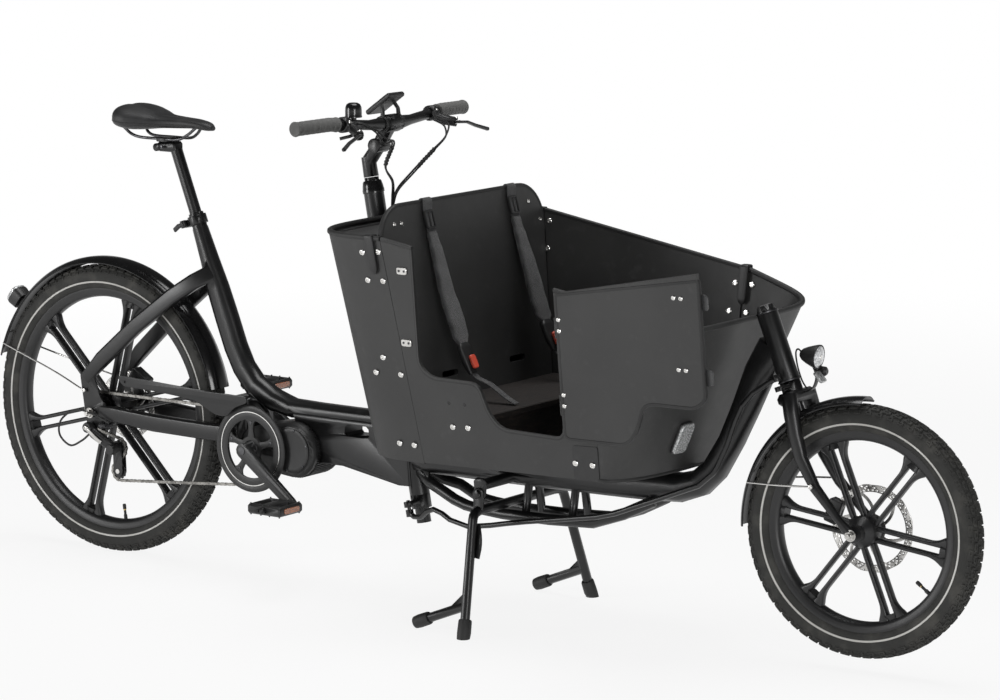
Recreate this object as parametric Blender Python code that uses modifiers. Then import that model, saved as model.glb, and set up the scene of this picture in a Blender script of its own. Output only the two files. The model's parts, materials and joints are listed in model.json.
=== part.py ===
"""A front-loading electric cargo bike, parked on its centre stand.

All sizes are in metres. The bike is drawn with X forward, Y to its left and Z up, from the
point on the ground under the rear axle. One empty carries everything, and it puts the origin
on the ground under the middle of the bike. The steered pieces are drawn straight ahead in the
frame of their own axis, and STEER turns both axes to the left as the bike is parked.
"""

from math import acos, asin, atan2, cos, degrees, hypot, pi, radians, sin, tan

import bmesh
import bpy
from mathutils import Matrix, Vector

GAP = 0.0003
WELD = 0.00001
REACH_BEHIND = 0.961

STEER = radians(4.83)
HEAD_LEAN = radians(22.0)
HEAD_CENTRE = (1.798, 0.0, 0.643)
COLUMN_LEAN = radians(10.28)
COLUMN_TOP = (0.7691, 0.0, 0.8891)
STEER_ARM = 0.050

REAR_AXLE = (0.0, 0.0, 0.3345)
REAR_TYRE_RADIUS = 0.3345
REAR_TYRE_HEIGHT = 0.055
REAR_BEAD_RADIUS = REAR_TYRE_RADIUS - REAR_TYRE_HEIGHT
REAR_HUB_HALF = 0.0665
FRONT_TYRE_RADIUS = 0.2575
FRONT_TYRE_HEIGHT = 0.0545
FRONT_BEAD_RADIUS = FRONT_TYRE_RADIUS - FRONT_TYRE_HEIGHT
FRONT_HUB_HALF = 0.049
TYRE_WIDTH = 0.055
TYRE_WALL = 0.005
RIM_WIDTH = 0.036
RIM_DEPTH = 0.020
TYRE_STEPS = 32
SPOKE_PAIRS = 6
SPOKE_BAR = 0.010
SPOKE_SLOT = 0.014
SPOKE_THICKNESS = 0.022
REAR_SPOKE_TURN = radians(14.7)
FRONT_SPOKE_TURN = radians(-7.5)
AXLE_RADIUS = 0.006
ROTOR_THICKNESS = 0.002
FRONT_ROTOR_RADIUS = 0.090
REAR_ROTOR_RADIUS = 0.080
REAR_ROTOR_Y = 0.0520
FRONT_ROTOR_Y = 0.0380

SEAT_LEAN = radians(21.0)
SEAT_TUBE_TOP = (0.2620, 0.0, 0.8050)
SEAT_TUBE_RADIUS = 0.0170
POST_RADIUS = 0.0136
POST_LENGTH = 0.330
POST_SHOWN = 0.149
TUBE_HALF_WIDTH = 0.022
STAY_HALF_HEIGHT = 0.018
STAY_HALF_WIDTH = 0.010
DROPOUT_Y = 0.070
DROPOUT_THICKNESS = 0.006
BEAM_BOX_HALF = 0.032
BEAM_END = 0.0328
BEAM_RISE = 0.0202
YOKE_HALF = 0.047
HOUSING_RADIUS = 0.022
SHAFT_RADIUS = 0.0160
HOUSING_LENGTH = 0.665

CRANK_CENTRE = (0.469, 0.0, 0.300)
CRANK_LENGTH = 0.170
CRANK_TURN = radians(-37.5)
ARM_Y = 0.0885
ARM_THICKNESS = 0.012
SPINDLE_RADIUS = 0.0095
MOTOR_HALF = 0.046
MOTOR_CENTRE = (0.575, 0.0, 0.305)
MOTOR_RADIUS = 0.062
BRACKET_RADIUS = 0.047
RING_Y = -0.060
RING_PITCH = 0.0835
GUARD_RING_RADIUS = 0.098
LINK_HALF = 0.0035
LINK_WIDTH = 0.006
COG_CLEARANCE = 0.0015
COG_Y = -0.0445
COG_PITCH = 0.0445
PULLEY_PITCH = 0.0223
UPPER_PULLEY = (0.0574, 0.2542)
LOWER_PULLEY = (0.0590, 0.2006)
PULLEY_WIDTH = 0.0050
CAGE_HALF = 0.0068
CAGE_WALL = 0.0016
GUARD_Y = -0.0850
GUARD_THICKNESS = 0.003

BOX_HALF_FOOT = 0.2425
BOX_FLARE = 0.117
BOX_DATUM = 0.370
BOX_RISE = 0.0233
BOX_FOOT = 0.3645
BOARD = 0.008
SHELL = 0.004
RIM_REAR_Z = 0.835
RIM_FRONT_Z = 0.748
REAR_JOINT_FOOT = 1.085
REAR_JOINT_RIM = 1.016
FRONT_JOINT_FOOT = 1.527
FRONT_JOINT_RIM = 1.540
REAR_END_FOOT = 0.900
REAR_END_RIM = 0.808
FRONT_END_FOOT = 1.598
FRONT_END_RIM = 1.724
FRONT_TIP_Z = 0.690
FLOOR_THICKNESS = 0.010
BACKREST = 0.010
BACKREST_LEAN = 0.149
BACKREST_X = 1.0105
BACKREST_RISE = 0.061
BACKREST_TOP = RIM_REAR_Z + BACKREST_RISE
BENCH_TOP = 0.485
BENCH_FRONT = 1.262
DOOR_GAP = 0.003
HINGE_X = 1.4535
HINGE_OUT = 0.006
HINGE_HEIGHTS = (0.688, 0.528)
KNUCKLE_RADIUS = 0.0042
PIN_RADIUS = 0.0020
LATCH_THICKNESS = 0.0045

MAIN_TUBE_RADIUS = 0.032
LOWER_TUBE_RADIUS = 0.0125
LOWER_TUBE_Y = 0.036
STAND_PIVOT = (1.150, 0.0, 0.289)
STAND_BAR_Z = 0.2530
STAND_TUBE = 0.0105
STAND_EAR_Y = 0.1375
EAR_THICKNESS = 0.006
PIVOT_BOLT = 0.005

FENDER_CLEARANCE = 0.010
FENDER_RADIUS = REAR_TYRE_RADIUS + FENDER_CLEARANCE
FENDER_CENTRE = (-0.0017, 0.0, 0.3430)
FENDER_HALF = 0.031
FENDER_SKIN = 0.002
FENDER_START = radians(12)
FENDER_SPAN = radians(152.5)
FENDER_STEPS = 18
BRIDGE_RISE = 0.0297
STAY_ANGLE = radians(159.08)
FRONT_FENDER_CLEARANCE = 0.0145
FRONT_FENDER_RADIUS = FRONT_TYRE_RADIUS + FRONT_FENDER_CLEARANCE
FRONT_FENDER_HALF = 0.031
FRONT_STAY_ANGLE = radians(141.01)
CROWN_TOP_S = 0.0945
CROWN_FOOT_S = 0.1205
FORK_ARM_S = 0.0835
FORK_BALL_S = 0.0615
BALL_RADIUS = 0.0085
ARM_EYE = 0.0100
STUD_RADIUS = 0.0040
COLUMN_ARM_DROP = 0.0150
COLUMN_BALL_DROP = 0.0340
CROWN_CLEARANCE = 0.013
AXLE_S = CROWN_FOOT_S + FRONT_FENDER_RADIUS + CROWN_CLEARANCE
AXLE_O = 0.0534
BAR_RADIUS = 0.011
SHIFT_Y = -0.148
SHIFT_FROM_BAR = (0.012, 0.0, -0.020)
GRIP_RADIUS = 0.0155
GRIP_LENGTH = 0.130
ROD_RADIUS = 0.0058


def clear_scene():
    """Remove what the file opened with."""
    for thing in list(bpy.data.objects):
        bpy.data.objects.remove(thing)


clear_scene()
PARTS = bpy.data.collections.new("cargo_bike")
bpy.context.scene.collection.children.link(PARTS)


def material(name, colour, roughness, metallic=0.0):
    """A plain finish: its colour, roughness and how metallic it is."""
    finish = bpy.data.materials.new(name)
    finish.use_nodes = True
    shader = finish.node_tree.nodes["Principled BSDF"]
    shader.inputs["Base Color"].default_value = (*colour, 1.0)
    shader.inputs["Roughness"].default_value = roughness
    shader.inputs["Metallic"].default_value = metallic
    finish.diffuse_color = (*colour, 1.0)
    return finish


FRAME_PAINT = material("frame_paint", (0.020, 0.020, 0.021), 0.42)
BOX_PLASTIC = material("box_plastic", (0.045, 0.045, 0.044), 0.55)
BLACK_PLASTIC = material("black_plastic", (0.022, 0.022, 0.022), 0.50)
TYRE_RUBBER = material("tyre_rubber", (0.030, 0.030, 0.029), 0.80)
SOFT_RUBBER = material("soft_rubber", (0.060, 0.060, 0.060), 0.75)
CAST_ALLOY = material("cast_alloy", (0.025, 0.025, 0.026), 0.45)
STEEL = material("steel", (0.600, 0.590, 0.570), 0.30, 1.0)
DARK_STEEL = material("dark_steel", (0.080, 0.080, 0.085), 0.35, 1.0)
BENCH_WOOD = material("bench_wood", (0.030, 0.022, 0.016), 0.50)
WEBBING = material("webbing", (0.030, 0.030, 0.031), 0.85)
RED_BUTTON = material("red_button", (0.700, 0.060, 0.030), 0.40)
CLEAR_LENS = material("clear_lens", (0.600, 0.600, 0.600), 0.15)
LAMP_RED = material("lamp_red", (0.250, 0.010, 0.010), 0.25)


def carrier(name, parent=None, place=(0, 0, 0), lean=0.0, steer=0.0):
    """An empty on a joint's axis: lean tips it back about Y, steer turns it about its own Z."""
    holder = bpy.data.objects.new(name, None)
    PARTS.objects.link(holder)
    holder.parent = parent
    holder.location = place
    holder.rotation_mode = "ZYX"
    holder.rotation_euler = (0.0, -lean, steer)
    bpy.context.view_layer.update()
    return holder


def from_bmesh(shape):
    """Make an object of a bmesh, with its faces pointing out."""
    bmesh.ops.recalc_face_normals(shape, faces=shape.faces)
    mesh = bpy.data.meshes.new("piece")
    shape.to_mesh(mesh)
    shape.free()
    piece = bpy.data.objects.new("piece", mesh)
    PARTS.objects.link(piece)
    return piece


def baked(piece):
    """Turn a curve, or an object with modifiers, into one welded mesh."""
    bpy.context.view_layer.update()
    graph = bpy.context.evaluated_depsgraph_get()
    mesh = bpy.data.meshes.new_from_object(piece.evaluated_get(graph))
    shape = bmesh.new()
    shape.from_mesh(mesh)
    bmesh.ops.remove_doubles(shape, verts=shape.verts, dist=WELD)
    solid = from_bmesh(shape)
    solid.matrix_world = piece.matrix_world
    bpy.data.objects.remove(piece)
    return solid


def moved(piece, *matrices):
    """Move a piece's mesh by the matrices, the last one first."""
    whole = Matrix.Identity(4)
    for matrix in matrices:
        whole = whole @ matrix
    piece.data.transform(whole)
    return piece


def at(x, y, z):
    """A shift by x, y and z."""
    return Matrix.Translation((x, y, z))


def turn(angle, axis):
    """A turn about one of the axes through the origin."""
    return Matrix.Rotation(angle, 4, axis)


def sheared(slope_yz=0.0, slope_xz=0.0, datum=0.0):
    """Push y and x sideways in proportion to the height above the datum."""
    matrix = Matrix.Identity(4)
    matrix[1][2] = slope_yz
    matrix[1][3] = -slope_yz * datum
    matrix[0][2] = slope_xz
    matrix[0][3] = -slope_xz * datum
    return matrix


def boolean(base, others, operation):
    """Join the other pieces to the base, or cut them from it."""
    for other in others:
        step = base.modifiers.new("boolean", "BOOLEAN")
        step.operation = operation
        step.object = other
        base = baked(base)
        bpy.data.objects.remove(other)
    return base


def joined(first, *others):
    """One solid made of several that overlap."""
    return boolean(first, others, "UNION")


def cut(base, *cutters):
    """The base without the space of the cutters."""
    return boolean(base, cutters, "DIFFERENCE")


def bent(corners, bend, steps=4, closed=False):
    """Round the corners of a path, starting each bend this far from its corner."""
    corners = [Vector(corner) for corner in corners]
    path = []
    for index, corner in enumerate(corners):
        if not closed and index in (0, len(corners) - 1):
            path.append(corner)
            continue
        before = corners[index - 1] - corner
        after = corners[(index + 1) % len(corners)] - corner
        reach = min(bend, before.length * 0.48, after.length * 0.48)
        start = corner + before.normalized() * reach
        end = corner + after.normalized() * reach
        for step in range(steps + 1):
            part = step / steps
            path.append(start.lerp(corner, part).lerp(corner.lerp(end, part), part))
    return path


def arc(centre, radius, start, end, steps):
    """Points of an arc in a plane, from one angle to another."""
    points = []
    for step in range(steps + 1):
        angle = start + (end - start) * step / steps
        points.append((centre[0] + radius * cos(angle), centre[1] + radius * sin(angle)))
    return points


def circle(centre, radius, steps):
    """Points all round a circle."""
    return arc(centre, radius, 0.0, 2 * pi, steps)[:-1]


def tube(path, radius, sides=8, radii=None):
    """A round tube or rod along a path, with closed ends."""
    curve = bpy.data.curves.new("tube", "CURVE")
    curve.dimensions = "3D"
    curve.bevel_depth = radius
    curve.bevel_resolution = (sides - 4) // 2
    curve.use_fill_caps = True
    spline = curve.splines.new("POLY")
    spline.points.add(len(path) - 1)
    for index, place in enumerate(path):
        spline.points[index].co = (*place, 1.0)
        if radii:
            spline.points[index].radius = radii[index] / radius
    piece = bpy.data.objects.new("tube", curve)
    PARTS.objects.link(piece)
    return baked(piece)


TO_PLANE = {
    "XY": Matrix.Identity(4),
    "XZ": Matrix.Rotation(radians(90), 4, "X"),
    "YZ": Matrix(((0, 0, 1, 0), (1, 0, 0, 0), (0, 1, 0, 0), (0, 0, 0, 1))),
}


def plate(outline, thickness, place=(0, 0, 0), plane="XZ", holes=()):
    """A flat piece cut to an outline, with its thickness half to each side of its plane."""
    curve = bpy.data.curves.new("plate", "CURVE")
    curve.dimensions = "2D"
    curve.fill_mode = "BOTH"
    curve.extrude = thickness / 2
    for ring in (outline, *holes):
        spline = curve.splines.new("POLY")
        spline.points.add(len(ring) - 1)
        for index, point in enumerate(ring):
            spline.points[index].co = (point[0], point[1], 0.0, 1.0)
        spline.use_cyclic_u = True
    piece = bpy.data.objects.new("plate", curve)
    PARTS.objects.link(piece)
    return moved(baked(piece), at(*place), TO_PLANE[plane])


def rod(start, end, radius, end_radius=None, sides=16):
    """A straight round bar, or a cone, from one point to another."""
    start = Vector(start)
    end = Vector(end)
    along = end - start
    shape = bmesh.new()
    bmesh.ops.create_cone(
        shape, cap_ends=True, segments=sides, radius1=radius,
        radius2=radius if end_radius is None else end_radius, depth=along.length)
    piece = from_bmesh(shape)
    direction = along.to_track_quat("Z", "Y").to_matrix().to_4x4()
    return moved(piece, Matrix.Translation((start + end) / 2), direction)


def block(size, centre, edge=0.0, tilt=0.0, swing=0.0, segments=1):
    """A box with eased edges, tipped about Y and swung about Z."""
    shape = bmesh.new()
    bmesh.ops.create_cube(shape, size=1.0)
    bmesh.ops.scale(shape, vec=size, verts=shape.verts)
    piece = from_bmesh(shape)
    if edge:
        easing = piece.modifiers.new("edges", "BEVEL")
        easing.width = edge
        easing.segments = segments
        piece = baked(piece)
    return moved(piece, at(*centre), turn(swing, "Z"), turn(tilt, "Y"))


def turned(profile, steps=32, closed=True, sweep=2 * pi, start=0.0):
    """A profile of (radius, y) points turned about the Y axis, from +X towards +Z."""
    count = len(profile)
    mesh = bpy.data.meshes.new("profile")
    edges = [(index, (index + 1) % count) for index in range(count if closed else count - 1)]
    mesh.from_pydata([(radius, 0.0, -y) for radius, y in profile], edges, [])
    piece = bpy.data.objects.new("profile", mesh)
    PARTS.objects.link(piece)
    lathe = piece.modifiers.new("lathe", "SCREW")
    lathe.angle = sweep
    lathe.steps = steps
    lathe.render_steps = steps
    lathe.use_merge_vertices = sweep >= 2 * pi
    lathe.merge_threshold = WELD
    return moved(baked(piece), TO_PLANE["XZ"], turn(start, "Z"))


def thickened(piece, wall):
    """Give an open surface a wall, half to each side."""
    shell = piece.modifiers.new("wall", "SOLIDIFY")
    shell.thickness = wall
    shell.offset = 0.0
    shell.use_even_offset = True
    return baked(piece)


def oval(steps, power):
    """Unit points of a superellipse: power 2 is round and larger ones are boxier."""
    points = []
    for step in range(steps):
        angle = 2 * pi * (step + 0.5) / steps
        u = abs(cos(angle)) ** (2 / power)
        v = abs(sin(angle)) ** (2 / power)
        points.append((u if cos(angle) > 0 else -u, v if sin(angle) > 0 else -v))
    return points


def loft(rings):
    """A closed solid through rings of as many points each."""
    shape = bmesh.new()
    loops = [[shape.verts.new(point) for point in ring] for ring in rings]
    count = len(loops[0])
    for lower, upper in zip(loops, loops[1:]):
        for index in range(count):
            after = (index + 1) % count
            shape.faces.new((lower[index], lower[after], upper[after], upper[index]))
    shape.faces.new(loops[0])
    shape.faces.new(loops[-1])
    return from_bmesh(shape)


def bar(path, sizes, sides=12, power=2.0, side=(0, 1, 0)):
    """A formed tube: each point of its path has a half depth and a half width there."""
    path = [Vector(place) for place in path]
    rings = []
    for index, place in enumerate(path):
        ahead = path[min(index + 1, len(path) - 1)] - path[max(index - 1, 0)]
        ahead.normalize()
        across = Vector(side) - ahead * ahead.dot(Vector(side))
        across.normalize()
        deep = across.cross(ahead)
        depth, width = sizes[index]
        rings.append([place + deep * u * depth + across * v * width for u, v in oval(sides, power)])
    return loft(rings)


def surface(grid):
    """An open skin through a grid of points."""
    shape = bmesh.new()
    rows = [[shape.verts.new(point) for point in row] for row in grid]
    for lower, upper in zip(rows, rows[1:]):
        for index in range(len(lower) - 1):
            shape.faces.new((lower[index], lower[index + 1], upper[index + 1], upper[index]))
    return from_bmesh(shape)


def finish(name, piece, finish_material, holder, drawn_in=None):
    """Name a piece, give it its finish and hang it on its carrier."""
    if drawn_in is not None:
        piece.data.transform(holder.matrix_world.inverted() @ drawn_in.matrix_world)
    piece.name = name
    piece.data.name = name
    piece.data.materials.clear()
    piece.data.materials.append(finish_material)
    for polygon in piece.data.polygons:
        polygon.material_index = 0
    piece.data.shade_smooth()
    piece.data.set_sharp_from_angle(angle=radians(35))
    piece.parent = holder
    piece.matrix_parent_inverse = Matrix.Identity(4)
    return piece


def along_lean(foot, lean, x, z):
    """Where a point of the bike lies in the frame of a leaning axis: forward of it and up it."""
    dx = x - foot[0]
    dz = z - foot[2]
    return dx * cos(lean) + dz * sin(lean), -dx * sin(lean) + dz * cos(lean)


def on_column(x, y, z):
    """A point of the straight bike in the steering column's frame."""
    forward, up = along_lean(COLUMN_TOP, COLUMN_LEAN, x, z)
    return forward, y, up


BIKE = carrier("bike", None, (-REACH_BEHIND, 0, 0))
REAR = carrier("rear_axle", BIKE, REAR_AXLE)
CRANKS = carrier("crank_axis", BIKE, CRANK_CENTRE)
COLUMN = carrier("column_axis", BIKE, COLUMN_TOP, COLUMN_LEAN, STEER)
HEAD = carrier("head_axis", BIKE, HEAD_CENTRE, HEAD_LEAN, STEER)
FRONT = carrier("front_axle", HEAD, (AXLE_O, 0, -AXLE_S))
STAND = carrier("stand_pivot", BIKE, STAND_PIVOT)


def tyre(radius, bead):
    """A tyre's wall from bead to bead: outside over the tread, and back along its inside."""
    half = TYRE_WIDTH / 2
    foot = RIM_WIDTH / 2 - 0.001
    belly = bead + (radius - bead) * 0.48
    outside = [(bead, -foot), (belly, -half), (radius - 0.011, -half * 0.84), (radius, -half * 0.40)]
    inside = [(bead, -foot + TYRE_WALL), (belly + 0.004, -half + TYRE_WALL)]
    right = outside
    left = [(r, -y) for r, y in reversed(outside)]
    hollow = [(r, -y) for r, y in inside] + list(reversed(inside))
    return turned(right + left + hollow, TYRE_STEPS)


def spoke_windows(pairs, hub, inner, rise):
    """The openings of a cast wheel: a wide one between spokes and a slot within each spoke."""
    windows = []
    half = SPOKE_BAR + SPOKE_SLOT / 2
    pitch = 2 * pi / pairs
    for index in range(pairs):
        axis = rise + index * pitch
        start = asin(min(0.9, half / inner)) + 0.10
        rim_side = arc((0, 0), inner, axis + start, axis + pitch - start, 4)
        deep = half / sin(pitch / 2) + 0.004
        middle = axis + pitch / 2
        tip = [(deep * cos(middle), deep * sin(middle))]
        flare = []
        for sign, spoke in ((-1, axis + pitch), (1, axis)):
            run = inner - 0.035
            across = half * sign
            flare.append((run * cos(spoke) - across * sin(spoke), run * sin(spoke) + across * cos(spoke)))
        windows.append(rim_side + [flare[0]] + tip + [flare[1]])
        slot = []
        for out, across in ((hub + 0.012, 1), (inner - 0.012, 1), (inner - 0.012, -1), (hub + 0.012, -1)):
            width = across * SPOKE_SLOT / 2
            slot.append((out * cos(axis) - width * sin(axis), out * sin(axis) + width * cos(axis), 0))
        windows.append([tuple(point[:2]) for point in bent(slot, SPOKE_SLOT / 3, 1, True)])
    return windows


def cast_wheel(bead, rise, hub_radius, hub_profile):
    """A cast wheel: the rim's bed, the plate with its windows and the bored hub in one."""
    seat = bead - GAP
    inner = bead - RIM_DEPTH
    half = RIM_WIDTH / 2
    bed = turned([(seat, -half), (seat, half), (inner - 0.001, half * 0.7),
                  (inner - 0.001, -half * 0.7)], TYRE_STEPS)
    windows = spoke_windows(SPOKE_PAIRS, hub_radius, inner, rise)
    windows.append(circle((0, 0), 0.0120, 8))
    spokes = plate(circle((0, 0), inner + 0.004, 24), SPOKE_THICKNESS, holes=windows)
    hub = turned(hub_profile, 16)
    return joined(spokes, bed, hub)


def rear_wheel():
    """The rear wheel turns on the fixed axle, with the rotor on its left."""
    bore = AXLE_RADIUS + 0.0005
    hub = [(bore, REAR_HUB_HALF - 0.004), (0.020, REAR_HUB_HALF - 0.004),
           (0.020, REAR_ROTOR_Y + ROTOR_THICKNESS / 2 + GAP),
           (0.018, REAR_ROTOR_Y + ROTOR_THICKNESS / 2 + GAP),
           (0.018, REAR_ROTOR_Y - ROTOR_THICKNESS / 2 - GAP),
           (0.024, REAR_ROTOR_Y - ROTOR_THICKNESS / 2 - GAP),
           (0.036, 0.016), (0.036, -0.016), (0.0160, -0.032),
           (0.0160, -REAR_HUB_HALF + 0.003), (bore, -REAR_HUB_HALF + 0.003)]
    rim = cast_wheel(REAR_BEAD_RADIUS, REAR_SPOKE_TURN, 0.040, hub)
    finish("rear_rim", rim, CAST_ALLOY, REAR)
    finish("rear_tyre", tyre(REAR_TYRE_RADIUS, REAR_BEAD_RADIUS), TYRE_RUBBER, REAR)
    finish("rear_rotor", rotor(REAR_ROTOR_RADIUS, REAR_ROTOR_Y), STEEL, REAR)


def front_wheel():
    """The front wheel turns on the fork's axle, and it turns with the fork."""
    bore = AXLE_RADIUS + 0.0005
    hub = [(bore, FRONT_HUB_HALF - 0.002), (0.020, FRONT_HUB_HALF - 0.002),
           (0.020, FRONT_ROTOR_Y + ROTOR_THICKNESS / 2 + GAP),
           (0.018, FRONT_ROTOR_Y + ROTOR_THICKNESS / 2 + GAP),
           (0.018, FRONT_ROTOR_Y - ROTOR_THICKNESS / 2 - GAP),
           (0.022, FRONT_ROTOR_Y - ROTOR_THICKNESS / 2 - GAP),
           (0.030, 0.016), (0.030, -0.016), (0.016, -0.030),
           (0.016, -FRONT_HUB_HALF + 0.002), (bore, -FRONT_HUB_HALF + 0.002)]
    rim = cast_wheel(FRONT_BEAD_RADIUS, FRONT_SPOKE_TURN - HEAD_LEAN, 0.034, hub)
    finish("front_rim", rim, CAST_ALLOY, FRONT)
    finish("front_tyre", tyre(FRONT_TYRE_RADIUS, FRONT_BEAD_RADIUS), TYRE_RUBBER, FRONT)
    finish("front_rotor", rotor(FRONT_ROTOR_RADIUS, FRONT_ROTOR_Y), STEEL, FRONT)


def rotor(radius, y):
    """A brake rotor: a track on six curved arms round the hub."""
    track = radius - 0.016
    windows = []
    for index in range(6):
        start = index * pi / 3
        outer = arc((0, 0), track, start + 0.10, start + 0.92, 3)
        inner = arc((0, 0), 0.028, start + 1.05, start + 0.45, 1)
        windows.append(outer + inner)
    return plate(circle((0, 0), radius, 28), ROTOR_THICKNESS, (0, y, 0),
                 holes=windows + [circle((0, 0), 0.0183 / cos(pi / 16), 16)])


def seat_tube_path():
    """The centre line of the formed main tube, from the seat clamp down and forward to the column."""
    up = (-sin(SEAT_LEAN), 0, cos(SEAT_LEAN))
    top = Vector(SEAT_TUBE_TOP)
    below = top - Vector(up) * 0.034
    low = top - Vector(up) * 0.105
    rest = [(0.324, 0.6405), (0.349, 0.5758), (0.3737, 0.512), (0.397, 0.467), (0.4315, 0.4275),
            (0.486, 0.4015), (0.540, 0.3890), (0.620, 0.3910), (0.740, 0.3925), (0.861, 0.3925)]
    return [below, low] + [Vector((x, 0, z)) for x, z in rest]


def motor_outline(grow=0.0):
    """The motor seen from the side: the round bracket shell and the round motor, in one outline."""
    start = Vector((CRANK_CENTRE[0], CRANK_CENTRE[2]))
    end = Vector((MOTOR_CENTRE[0], MOTOR_CENTRE[2]))
    span = end - start
    tilt = atan2(span.y, span.x)
    spread = acos((BRACKET_RADIUS - MOTOR_RADIUS) / span.length)
    back = arc(start, BRACKET_RADIUS + grow, tilt + spread, tilt + 2 * pi - spread, 8)
    front = arc(end, MOTOR_RADIUS + grow, tilt - spread, tilt + spread, 10)
    return back + front


def seat_stay(side):
    """A flat-sided stay from the formed tube down to its dropout."""
    path = [(0.316, side * 0.012, 0.6760), (0.285, side * 0.036, 0.6560), (0.230, side * 0.048, 0.6200),
            (0.129, side * 0.058, 0.5450), (0.030, side * 0.0665, 0.4600), (-0.018, side * DROPOUT_Y,
                                                                            0.4120)]
    size = (STAY_HALF_HEIGHT, STAY_HALF_WIDTH)
    return bar(path, [size] * 5 + [(0.014, 0.007)], 8, 5.0)


def chain_stay(side):
    """A flat-sided stay from its dropout forward to the yoke over the motor."""
    path = [(0.026, side * DROPOUT_Y, 0.3390), (0.060, side * 0.0675, 0.3360),
            (0.180, side * 0.0610, 0.3270),
            (0.335, side * 0.0500, 0.3220), (0.412, side * 0.0440, 0.3230)]
    size = (0.0195, STAY_HALF_WIDTH)
    return bar(path, [(0.014, 0.007), (0.018, STAY_HALF_WIDTH), size, size, size], 8, 5.0)


def dropout(side):
    """The plate that holds the rear axle and both stays."""
    outline = bent([(-0.034, 0.425, 0), (0.000, 0.432, 0), (0.026, 0.372, 0), (0.040, 0.356, 0),
                    (0.040, 0.320, 0), (0.018, 0.312, 0), (0.010, 0.292, 0), (-0.012, 0.292, 0),
                    (-0.020, 0.330, 0)], 0.008, 2, True)
    return plate([point[:2] for point in outline], DROPOUT_THICKNESS, (0, side * DROPOUT_Y, 0))


def column_point(up):
    """A point on the steering column's axis, this far up from its top bearing."""
    return (COLUMN_TOP[0] - up * sin(COLUMN_LEAN), 0, COLUMN_TOP[2] + up * cos(COLUMN_LEAN))


def rear_frame():
    """The welded rear frame: formed tube, boxed beam, stays, dropouts, axle and column housing."""
    sizes = [(SEAT_TUBE_RADIUS, SEAT_TUBE_RADIUS), (0.0205, 0.0195), (0.0270, TUBE_HALF_WIDTH),
             (0.0290, TUBE_HALF_WIDTH), (0.0290, TUBE_HALF_WIDTH), (0.0285, TUBE_HALF_WIDTH),
             (0.0285, 0.024), (0.0260, 0.026), (0.0215, 0.028), (0.0175, 0.028),
             (0.0155, 0.028), (0.0155, 0.024)]
    frame = bar(seat_tube_path(), sizes, 12, 2.4)
    foot = Vector(column_point(-HOUSING_LENGTH))
    box_outline = [(0.560, 0.385), (0.585, 0.330), (0.600, 0.290), (0.622, 0.280), (0.700, 0.281),
                   (foot.x - BEAM_END, foot.z + BEAM_RISE), (foot.x - 0.0058, foot.z + BEAM_RISE + 0.001),
                   (0.872, 0.372), (0.850, 0.385)]
    window = bent([(0.705, 0.348, 0), (0.775, 0.348, 0), (0.772, 0.375, 0), (0.708, 0.375, 0)], 0.006,
                  1, True)
    lower_box = plate(box_outline, 2 * BEAM_BOX_HALF, (0, 0, 0), holes=[[p[:2] for p in window]])
    yoke = block((0.058, 2 * YOKE_HALF, 0.104), (0.415, 0, 0.3550), 0.006)
    housing = rod(column_point(0.0), column_point(-HOUSING_LENGTH), HOUSING_RADIUS, sides=20)
    up = Vector((-sin(SEAT_LEAN), 0, cos(SEAT_LEAN)))
    top = Vector(SEAT_TUBE_TOP)
    sleeve = rod(top - up * 0.060, top, SEAT_TUBE_RADIUS, sides=20)
    pieces = [lower_box, yoke, housing, sleeve]
    for side in (-1, 1):
        pieces += [seat_stay(side), chain_stay(side), dropout(side)]
    radial = Vector((0.2360, 0, 0.6320)) - Vector(FENDER_CENTRE)
    flat = FENDER_RADIUS * cos(FENDER_SPAN / FENDER_STEPS / 2)
    bridge_in = Vector(FENDER_CENTRE) + radial.normalized() * (flat + GAP)
    bridge = Vector(FENDER_CENTRE) + radial.normalized() * (FENDER_RADIUS + BRIDGE_RISE)
    pieces += [rod(bridge - Vector((0, 0.052, 0)), bridge + Vector((0, 0.052, 0)), 0.008, sides=10),
               rod(bridge, bridge_in, 0.006, sides=10)]
    level = 0.3900
    foot = FENDER_CENTRE[0] + FENDER_RADIUS * cos(asin((level - FENDER_CENTRE[2]) / FENDER_RADIUS))
    pieces += [rod((0.392, 0, level), (foot + 2 * GAP, 0, level), 0.006, sides=10)]
    frame = joined(frame, *pieces)
    axle = rod((0, -DROPOUT_Y - 0.012, REAR_AXLE[2]), (0, DROPOUT_Y + 0.012, REAR_AXLE[2]), AXLE_RADIUS,
               sides=12)
    nuts = [rod((0, side * (DROPOUT_Y + 0.002), REAR_AXLE[2]),
                (0, side * (DROPOUT_Y + 0.011), REAR_AXLE[2]),
                0.0100, sides=12) for side in (-1, 1)]
    frame = joined(frame, *nuts)
    frame = joined(frame, axle)
    post_bore = rod(top - up * (POST_LENGTH - POST_SHOWN + 0.095), top + up * 0.02, POST_RADIUS + GAP,
                    sides=16)
    shaft_bore = rod(column_point(0.01), column_point(-HOUSING_LENGTH - 0.01), SHAFT_RADIUS + 0.0004,
                     sides=20)
    motor_space = plate(motor_outline(0.0015), 0.150)
    frame = cut(frame, post_bore, shaft_bore, motor_space)
    finish("rear_frame", frame, FRAME_PAINT, BIKE)


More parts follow.
